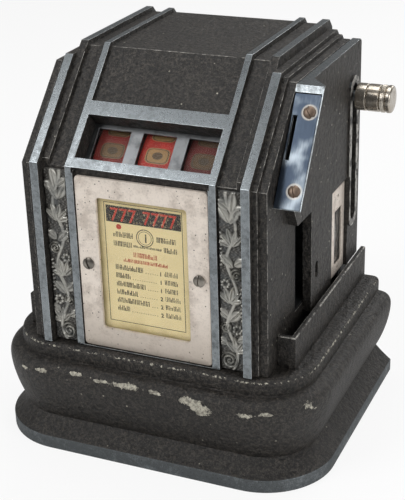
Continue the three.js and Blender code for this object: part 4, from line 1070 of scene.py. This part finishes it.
class MACHINE_OT_award_card(bpy.types.Operator):
    """Prints the card: ruled border, dark heading, dial, rows of marks and plain numbers"""

    bl_idname = "machine.award_card"
    bl_label = "Award card"

    def execute(self, context):
        colours = context.scene.machine_colours
        low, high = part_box("award_card")
        middle = (low + high) / 2
        half = ((high.x - low.x) / 2, (high.z - low.z) / 2)
        finish_node("award_card", aged_card("Aged card", middle, half))
        black = print_ink("Black print", colours.ink, colours.card)
        red = print_ink("Red print", colours.red_ink, colours.card)
        y = low.y / MM - 0.05
        card = Printer(y)
        rng = np.random.default_rng(7)
        card.frame(-19.6, 18.8, 68.4, 127.6, 0.28)
        card.bar(-18.6, 18.2, 118.2, 126.2)
        card.circle(0.2, 112.3, 4.3, line=0.4)
        card.circle(0.2, 112.3, 3.3, line=0.22)
        card.circle(-12.6, 116.2, 1.3, 1)
        card.strokes(-15.5, -5.6, 111.2, 113.8, rng)
        card.strokes(6.0, 15.5, 111.2, 113.8, rng)
        card.strokes(-15.5, -6.5, 106.7, 109.2, rng)
        card.strokes(-5.6, 8.2, 107.2, 108.2, rng)
        card.strokes(9.4, 15.8, 106.7, 109.2, rng)
        card.strokes(-5.8, 5.8, 102.3, 104.7, rng, 1)
        card.strokes(-11, 11, 99.3, 101.0, rng, 1)
        words = (-1.4, -8.0, -0.6, -4.6, 1.2, -9.2)
        for row, end in enumerate(words):
            base = 95.0 - 4.15 * row
            card.strokes(-15.2, end, base, base + 2.5, rng)
            for dot in np.arange(end + 1.2, 5.6, 1.15):
                card.bar(dot, dot + 0.3, base, base + 0.3)
            card.strokes(9.2, 15.6 if row < 3 else 16.6, base, base + 2.4, rng)
        points = np.array(card.points) * MM
        new_piece("card_print", points, card.faces, "housing", [black, red], card.inks, smooth=False)
        for row, number in enumerate("111222"):
            digits(number, f"card_number_{row}", 2.0, 6.6, 94.9 - 4.15 * row, y - 0.02, black)
        digits("1", "card_dial", 4.2, -0.8, 110.3, y - 0.02, black)
        digits("777", "card_heading_left", 6.6, -16.8, 118.9, y - 0.05, red, 0.98)
        digits("7777", "card_heading_right", 6.6, -0.6, 118.9, y - 0.05, red, 0.92)
        return {"FINISHED"}


# ---- Screws ----------------------------------------------------------------------------------

def screw_head(radius, height, slot=0.17, depth=0.55, rings=30, sides=72):
    """A domed head on a polar grid, pointing along Z: z = height (1 - 0.62 (r / R)^2.4), less a slot along Y
    whose wall is a steep smooth step in |x|. Its rim drops straight to a flat underside."""
    r = np.sin(np.linspace(0.02, 1, rings) * TURN / 4)[:, None] * radius
    a = np.arange(sides)[None, :] * TURN / sides
    x, y = r * np.cos(a), r * np.sin(a)
    z = height * (1 - 0.62 * (r / radius) ** 2.4) + 0 * a
    wall = np.clip((slot * radius - np.abs(x)) / (0.05 * radius) + 0.5, 0, 1)
    z = z - wall * wall * (3 - 2 * wall) * depth * height
    top = np.stack([x, y, z], -1)
    foot = np.stack([x[-1], y[-1], np.zeros(sides)], -1)
    rings_out = np.concatenate([[foot * [0.9, 0.9, 1]], [foot], top[::-1]])
    return loft(rings_out)


def put_screw(name, at, out, turn, radius, height, material, body, replaces=()):
    """A screw head at a seat, pointing out of it, its slot turned about its axis."""
    points, faces = screw_head(radius, height)
    out = Vector(out).normalized()
    place = Matrix.Translation(Vector(at) / MM) @ out.to_track_quat("Z", "Y").to_matrix().to_4x4()
    place = np.array(place @ Matrix.Rotation(turn, 4, "Z"))
    points = points @ place[:3, :3].T + place[:3, 3]
    return new_piece(name, points * MM, faces, body, [material], replaces=replaces)


class MACHINE_OT_screws(bpy.types.Operator):
    """Puts in the slotted screws of the award plate, coin plate, base plate, frame feet and side casing"""

    bl_idname = "machine.screws"
    bl_label = "Screws"

    def execute(self, context):
        colours = context.scene.machine_colours
        nickel = worked_metal("Screw nickel", tuple(0.6 * v for v in colours.knob), 0.24)
        brown = worked_metal("Screw brown", colours.old_screw, 0.42)
        steel = FINISHES["steel"]
        for name, turn in (("left", 0.32), ("right", -0.12)):
            node = f"award_screw_{name}"
            low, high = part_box(node)
            seat = ((low.x + high.x) / 2, low.y + 1.26 * MM, (low.z + high.z) / 2)
            put_screw(
                f"plate_screw_{name}", seat, (0, -1, 0), turn, 2.8, 1.35, nickel,
                "housing", [node],
            )
        for name, turn in (("lower", 0.35), ("upper", 0.62)):
            node = f"coin_plate_screw_{name}"
            seat = coin_screw_seat(node)
            put_screw(
                f"head_screw_{name}", seat, COIN_OUT, turn, 2.7, 1.15, brown, "housing", [node],
            )
        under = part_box("base_plate")[0].z
        for k, (x, y) in enumerate([(-61, -43), (61, -43), (-67, 55), (67, 55)]):
            at = (x * MM, y * MM, under)
            put_screw(f"foot_screw_{k}", at, (0, 0, -1), 0.5 * k, 2.9, 0.9, steel, "housing")
        foot_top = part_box("frame_plate_left")[0].z + 1.6 * MM
        for k, (x, y) in enumerate([(-39.8, -22), (39.8, -22), (-39.8, 25), (39.8, 25)]):
            at = (x * MM, y * MM, foot_top)
            put_screw(f"frame_screw_{k}", at, (0, 0, 1), 0.7 * k, 2.4, 1.4, steel, "housing")
        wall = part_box("case_casting")[1].x - 3.1 * MM
        for k, (y, z) in enumerate([(-2, 171.5), (56, 171), (56, 73), (13, 77)]):
            at = (wall, y * MM, z * MM)
            put_screw(f"casing_screw_{k}", at, (-1, 0, 0), 0.9 * k, 2.6, 1.3, steel, "housing")
        return {"FINISHED"}


def coin_plate_middle():
    """The middle of the coin plate's outer face: its box's middle, moved out by half its thickness."""
    low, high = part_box("coin_plate")
    return (low + high) / 2 + COIN_OUT * 0.6 * MM


def coin_screw_seat(node):
    """Where a coin plate screw's axis meets the plate's outer face."""
    side = -1 if node.endswith("lower") else 1
    return coin_plate_middle() + Vector((1.9 * MM, 0, 0)) + COIN_UP * side * 17.4 * MM


# ---- Window, reels ---------------------------------------------------------------------------

class MACHINE_OT_reels(bpy.types.Operator):
    """Wraps the printed strips round the drums and finishes the works' wheels"""

    bl_idname = "machine.reels"
    bl_label = "Reels"

    def execute(self, context):
        # Painted shade: each reel's print is darkened to its share, the right reel most.
        for name, lit_share in (("left", 0.42), ("middle", 1.0), ("right", 0.3)):
            node = f"reel_strip_{name}"
            low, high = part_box(node)
            centre = (low + high) / 2
            inner, shoulder = REEL_OUTER - STRIP_THICK, REEL_OUTER - STRIP_EDGE
            start, end = low.x / MM, high.x / MM
            profile = [
                (inner, start), (shoulder, start), (REEL_OUTER, start + STRIP_EDGE),
                (REEL_OUTER, end - STRIP_EDGE), (shoulder, end), (inner, end),
            ]
            rings = turned(profile, centre / MM, 180)
            points, faces = loft(rings, wrap=True)
            paper = reel_print(f"Reel print {name}", centre, REEL_STOPS, centre.x, lit_share)
            new_piece(
                f"strip_{name}", points * MM, faces, f"reel_{name}", [paper], replaces=[node],
            )
            finish_node(f"reel_drum_{name}", FINISHES["steel"])
            finish_node(f"star_wheel_{name}", FINISHES["brass"])
        return {"FINISHED"}


class MACHINE_OT_window(bpy.types.Operator):
    """Finishes the window's mask and its dusty glass"""

    bl_idname = "machine.window"
    bl_label = "Reel window"

    def execute(self, context):
        edge = context.scene.machine_sizes.sheet_edge
        rounded_copy("reel_mask", "window_mask", [FINISHES["mask"]], radius=edge)
        finish_node("reel_glass", glass("Window glass", 0.10, 0.7))
        finish_node("award_glass", glass("Card glass", 0.02))
        finish_node("side_window_glass", glass("Side glass", 0.18))
        return {"FINISHED"}


# ---- Side casing, coin head, handle ----------------------------------------------------------

def casing_finish(centre, normal):
    """Bare metal on top and round the coin plate, and worn paint on the handle slot's bead."""
    if normal.z > 0.95 and centre.z > 178:
        return BARE
    if normal.dot(COIN_OUT) > 0.98 and centre.z > 133:
        return BARE
    if normal.x > 0.9 and centre.x > 64.2 and centre.y > 40:
        return WORN
    return PAINT


class MACHINE_OT_casing(bpy.types.Operator):
    """Finishes the side casing, coin plate, side window and coin return"""

    bl_idname = "machine.casing"
    bl_label = "Side casing"

    def execute(self, context):
        finishes = casting_finishes()
        sheet = context.scene.machine_sizes.sheet_edge
        rounded_copy(
            "side_casing", "casing_shell", finishes, casing_finish, shortest=0.9 * MM,
        )
        seats = [coin_screw_seat("lower"), coin_screw_seat("upper")]
        rounded_copy("coin_plate", "coin_face", [swept_steel("Swept steel", seats)], radius=sheet)
        rounded_copy("side_window_frame", "side_frame", [FINISHES["nickel"]], radius=sheet)
        finish_node("coin_guide", FINISHES["steel"])
        finish_node("coin_return_cup", FINISHES["dark_steel"])
        return {"FINISHED"}


class MACHINE_OT_handle(bpy.types.Operator):
    """Turns the knob with its grooves and knurled band, and finishes what it drives"""

    bl_idname = "machine.handle"
    bl_label = "Handle"

    def execute(self, context):
        low, high = (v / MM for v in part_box("handle_knob"))
        centre = (low + high) / 2
        radius = (high.z - low.z) / 2
        start, end = low.x, high.x
        groove_at = (start + 5.4, start + 11.8, start + 14.6)
        along = np.linspace(start + 0.9, end - 0.9, 180)
        r = np.full_like(along, radius)
        for at in groove_at:
            r -= 0.75 * np.exp(-(((along - at) / 0.28) ** 2))
        band = (along > groove_at[1] + 0.7) & (along < groove_at[2] - 0.7)
        r += 0.12 * np.cos((along - start) * 9.0) * band
        nose = np.linspace(0, TURN / 4, 8)[:-1]
        front = [(radius - 0.9 + 0.9 * math.sin(a), start + 0.9 - 0.9 * math.cos(a)) for a in nose]
        tail = [(radius - 0.9 + 0.9 * math.cos(a), end - 0.9 + 0.9 * math.sin(a)) for a in nose[1:]]
        profile = [(2.7, start), *front, *zip(r, along), *tail, (radius - 1.0, end), (0.4, end)]
        rings = turned(profile, centre, 72)
        angle = np.arange(72) * TURN / 72
        knurled = (rings[:, :1, 0] > groove_at[2] + 0.7) & (rings[:, :1, 0] < end - 1.0)
        knurl = knurled * 0.07 * np.cos(36 * angle)
        away = rings[..., 1:] - [centre.y, centre.z]
        distance = np.maximum(np.linalg.norm(away, axis=-1, keepdims=True), 1e-6)
        rings[..., 1:] += away / distance * knurl[..., None]
        points, faces = loft(rings)
        new_piece(
            "knob", points * MM, faces, "handle", [FINISHES["knob"]],
            replaces=["handle_knob"],
        )
        for node in ("handle_spindle", "handle_carriage", "handle_rack"):
            finish_node(node, FINISHES["steel"])
        self.spring()
        return {"FINISHED"}

    def spring(self):
        """A round wire along a helix: the centre line is (R cos a, R sin a, p a), and the wire's circle is on
        the helix's own normal and binormal."""
        low, high = (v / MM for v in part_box("return_spring"))
        wire, turns, sides = 0.6, 10, 10
        centre = (low + high) / 2
        radius = (high.x - low.x) / 2 - wire
        a = np.linspace(0, turns * TURN, turns * 40)
        rise = (high.z - low.z - 2 * wire) / (turns * TURN)
        x, y = centre.x + radius * np.cos(a), centre.y + radius * np.sin(a)
        line = np.stack([x, y, low.z + wire + rise * a], -1)
        normal = np.stack([np.cos(a), np.sin(a), 0 * a], -1)
        tangent = np.stack([-radius * np.sin(a), radius * np.cos(a), np.full_like(a, rise)], -1)
        tangent /= np.linalg.norm(tangent, axis=1, keepdims=True)
        binormal = np.cross(tangent, normal)
        b = (np.arange(sides) * TURN / sides)[None, :, None]
        rings = line[:, None] + wire * (np.cos(b) * normal[:, None] + np.sin(b) * binormal[:, None])
        points, faces = loft(rings)
        made = new_piece(
            "spring_wire", points * MM, faces, "housing", [FINISHES["steel"]],
            replaces=["return_spring"],
        )
        travel = frame_joint("handle_press")["range_m"][1]
        keep = 1 - travel / ((high.z - low.z) * MM)
        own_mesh(made)


def frame_joint(name):
    """A joint of the frame, by its name."""
    return next(joint for joint in frame["joints"] if joint["name"] == name)


# ---- Works, back door ------------------------------------------------------------------------

STEEL_NODES = (
    "base_plate",
    "case_bolt_front_left", "case_bolt_back_left", "case_bolt_front_right", "case_bolt_back_right",
    "frame_plate_left", "frame_plate_right", "tie_rod_front", "tie_rod_back", "reel_shaft", "pawl_shaft",
    "stop_pawl_left", "stop_pawl_middle", "stop_pawl_right", "kicker_bail",
    "guide_rod", "guide_bracket_bottom", "guide_bracket_top",
    "hinge_case_leaf", "hinge_door_leaf", "hinge_pin", "lock_nut", "lock_cam",
)
BRASS_NODES = ("sector_gear", "lock_body", "lock_plug")


class MACHINE_OT_works(bpy.types.Operator):
    """Finishes the works, the bolts, the base plate, the hinge and the lock"""

    bl_idname = "machine.works"
    bl_label = "Works"

    def execute(self, context):
        for node in STEEL_NODES:
            finish_node(node, FINISHES["steel"])
        for node in BRASS_NODES:
            finish_node(node, FINISHES["brass"])
        return {"FINISHED"}


class MACHINE_OT_door(bpy.types.Operator):
    """Rounds and paints the back door"""

    bl_idname = "machine.door"
    bl_label = "Back door"

    def execute(self, context):
        finishes = casting_finishes()
        rounded_copy("back_door", "door_leaf", finishes, radius=0.3 * MM)
        return {"FINISHED"}


# ---- Stage -----------------------------------------------------------------------------------

class MACHINE_OT_stage(bpy.types.Operator):
    """Sets up the pale floor, the soft lights and the camera"""

    bl_idname = "machine.stage"
    bl_label = "Stage"

    def execute(self, context):
        scene = context.scene
        stage = scene.machine_stage
        scene.view_settings.view_transform = "Standard"
        self.world(scene, stage.daylight)
        self.floor()
        self.camera(scene, stage)
        self.lamp("Key", (-0.55, -0.75, 0.95), 0.55, 7.0)
        self.lamp("Right", (0.95, -0.35, 0.55), 0.5, 4.0)
        self.lamp("Top", (0.05, 0.25, 1.1), 0.6, 4.5)
        self.lamp("Back", (0.3, 1.0, 0.6), 0.6, 3.0)
        return {"FINISHED"}

    def world(self, scene, daylight):
        """White where the camera sees it, straight or through glass, and a soft light on everything else."""
        world = bpy.data.worlds.new("Studio")
        scene.world = world
        world.use_nodes = True
        nodes, links = world.node_tree.nodes, world.node_tree.links
        nodes.clear()
        path = nodes.new("ShaderNodeLightPath")
        seen = nodes.new("ShaderNodeMath")
        seen.operation = "MAXIMUM"
        links.new(path.outputs["Is Camera Ray"], seen.inputs[0])
        links.new(path.outputs["Is Transmission Ray"], seen.inputs[1])
        strength = nodes.new("ShaderNodeMapRange")
        strength.inputs["To Min"].default_value = daylight
        strength.inputs["To Max"].default_value = 1
        links.new(seen.outputs[0], strength.inputs["Value"])
        background = nodes.new("ShaderNodeBackground")
        background.inputs["Color"].default_value = (1, 1, 1, 1)
        links.new(strength.outputs[0], background.inputs["Strength"])
        output = nodes.new("ShaderNodeOutputWorld")
        links.new(background.outputs[0], output.inputs["Surface"])

    def floor(self):
        """A wide floor that keeps a faint shadow."""
        wide = 6
        corners = np.array([(-wide, -wide, 0), (wide, -wide, 0), (wide, wide, 0), (-wide, wide, 0)], float)
        mesh = bpy.data.meshes.new("Floor")
        mesh.from_pydata(corners.tolist(), [], [(0, 1, 2, 3)])
        finish = Finish("Floor")
        path = finish.node("ShaderNodeLightPath", output="Is Camera Ray")
        lit = finish.node("ShaderNodeBsdfPrincipled", inputs={
            "Base Color": (0.86, 0.86, 0.86, 1), "Roughness": 0.9,
        })
        white = finish.node("ShaderNodeEmission", inputs={"Color": (1, 1, 1, 1), "Strength": 1.0})
        mixed = finish.node("ShaderNodeMixShader", inputs=[path * 0.86, lit, white])
        finish.node("ShaderNodeOutputMaterial", inputs=[mixed])
        mesh.materials.append(finish.material)
        floor = bpy.data.objects.new("Floor", mesh)
        bpy.context.scene.collection.objects.link(floor)

    def camera(self, scene, stage):
        """Looks at the target from the given azimuth, elevation and distance, rolled about its own axis."""
        data = bpy.data.cameras.new("Camera")
        data.lens = stage.lens
        camera = bpy.data.objects.new("Camera", data)
        scene.collection.objects.link(camera)
        a, e = stage.azimuth, stage.elevation
        back = Vector((math.sin(a) * math.cos(e), -math.cos(a) * math.cos(e), math.sin(e)))
        camera.rotation_mode = "QUATERNION"
        level = (-back).to_track_quat("-Z", "Y")
        camera.rotation_quaternion = level @ Matrix.Rotation(stage.roll, 3, "Z").to_quaternion()
        camera.location = Vector(stage.target) + back * stage.distance
        scene.camera = camera

    def lamp(self, name, place, size, power):
        """A square soft lamp that faces the machine."""
        data = bpy.data.lights.new(name, "AREA")
        data.size = size
        data.energy = power
        lamp = bpy.data.objects.new(name, data)
        bpy.context.scene.collection.objects.link(lamp)
        lamp.location = place
        lamp.rotation_mode = "QUATERNION"
        middle = (CAD_BOX[0] + CAD_BOX[1]) / 2
        lamp.rotation_quaternion = (middle - lamp.location).to_track_quat("-Z", "Y")


# ---- Add-on ----------------------------------------------------------------------------------

class MACHINE_OT_finishes(bpy.types.Operator):
    """Makes the finishes that several pieces share"""

    bl_idname = "machine.finishes"
    bl_label = "Finishes"

    def execute(self, context):
        colours = context.scene.machine_colours
        FINISHES["paint"] = crackle_paint("Crackle paint")
        FINISHES["worn"] = worn_edge("Worn edge")
        FINISHES["aluminium"] = bare_aluminium("Bare aluminium")
        # Painted highlight: a brighter, glossier copy of the bare aluminium for the rounded edges beside it.
        FINISHES["bright"] = worked_metal("Edge highlight", tuple(2.1 * v for v in colours.aluminium), 0.26)
        FINISHES["nickel"] = nickel_plate("Nickel plate")
        FINISHES["knob"] = polished_nickel("Knob nickel")
        FINISHES["steel"] = worked_metal("Steel", colours.steel)
        FINISHES["dark_steel"] = worked_metal("Dark steel", tuple(0.16 * v for v in colours.steel), 0.6)
        FINISHES["mask"] = worked_metal("Mask steel", tuple(0.62 * v for v in colours.steel), 0.26)
        FINISHES["brass"] = worked_metal("Brass", colours.brass)
        return {"FINISHED"}


OPERATORS = (
    MACHINE_OT_finishes, MACHINE_OT_stage, MACHINE_OT_base, MACHINE_OT_case, MACHINE_OT_ornament,
    MACHINE_OT_award_plate, MACHINE_OT_award_card, MACHINE_OT_screws, MACHINE_OT_window, MACHINE_OT_reels,
    MACHINE_OT_casing, MACHINE_OT_handle, MACHINE_OT_works, MACHINE_OT_door,
)


class MACHINE_PT_panel(bpy.types.Panel):
    """Lists the settings and the operators"""

    bl_idname = "MACHINE_PT_panel"
    bl_label = "Reel Machine"
    bl_space_type = "VIEW_3D"
    bl_region_type = "UI"
    bl_category = "Reel Machine"

    def draw(self, context):
        scene = context.scene
        for settings in (scene.machine_colours, scene.machine_sizes, scene.machine_stage):
            box = self.layout.box()
            for name in settings.bl_rna.properties.keys():
                if name not in ("rna_type", "name"):
                    box.prop(settings, name)
        for operator in OPERATORS:
            self.layout.operator(operator.bl_idname)


SETTINGS = {"machine_colours": MachineColours, "machine_sizes": MachineSizes, "machine_stage": MachineStage}


def register():
    for name, settings in SETTINGS.items():
        bpy.utils.register_class(settings)
        setattr(bpy.types.Scene, name, bpy.props.PointerProperty(type=settings))
    for operator in OPERATORS:
        bpy.utils.register_class(operator)
    bpy.utils.register_class(MACHINE_PT_panel)


def unregister():
    bpy.utils.unregister_class(MACHINE_PT_panel)
    for operator in reversed(OPERATORS):
        bpy.utils.unregister_class(operator)
    for name, settings in SETTINGS.items():
        delattr(bpy.types.Scene, name)
        bpy.utils.unregister_class(settings)


def main():
    register()
    for operator in OPERATORS:
        _, name = operator.bl_idname.split(".")
        getattr(bpy.ops.machine, name)()


if __name__ == "__main__":
    main()
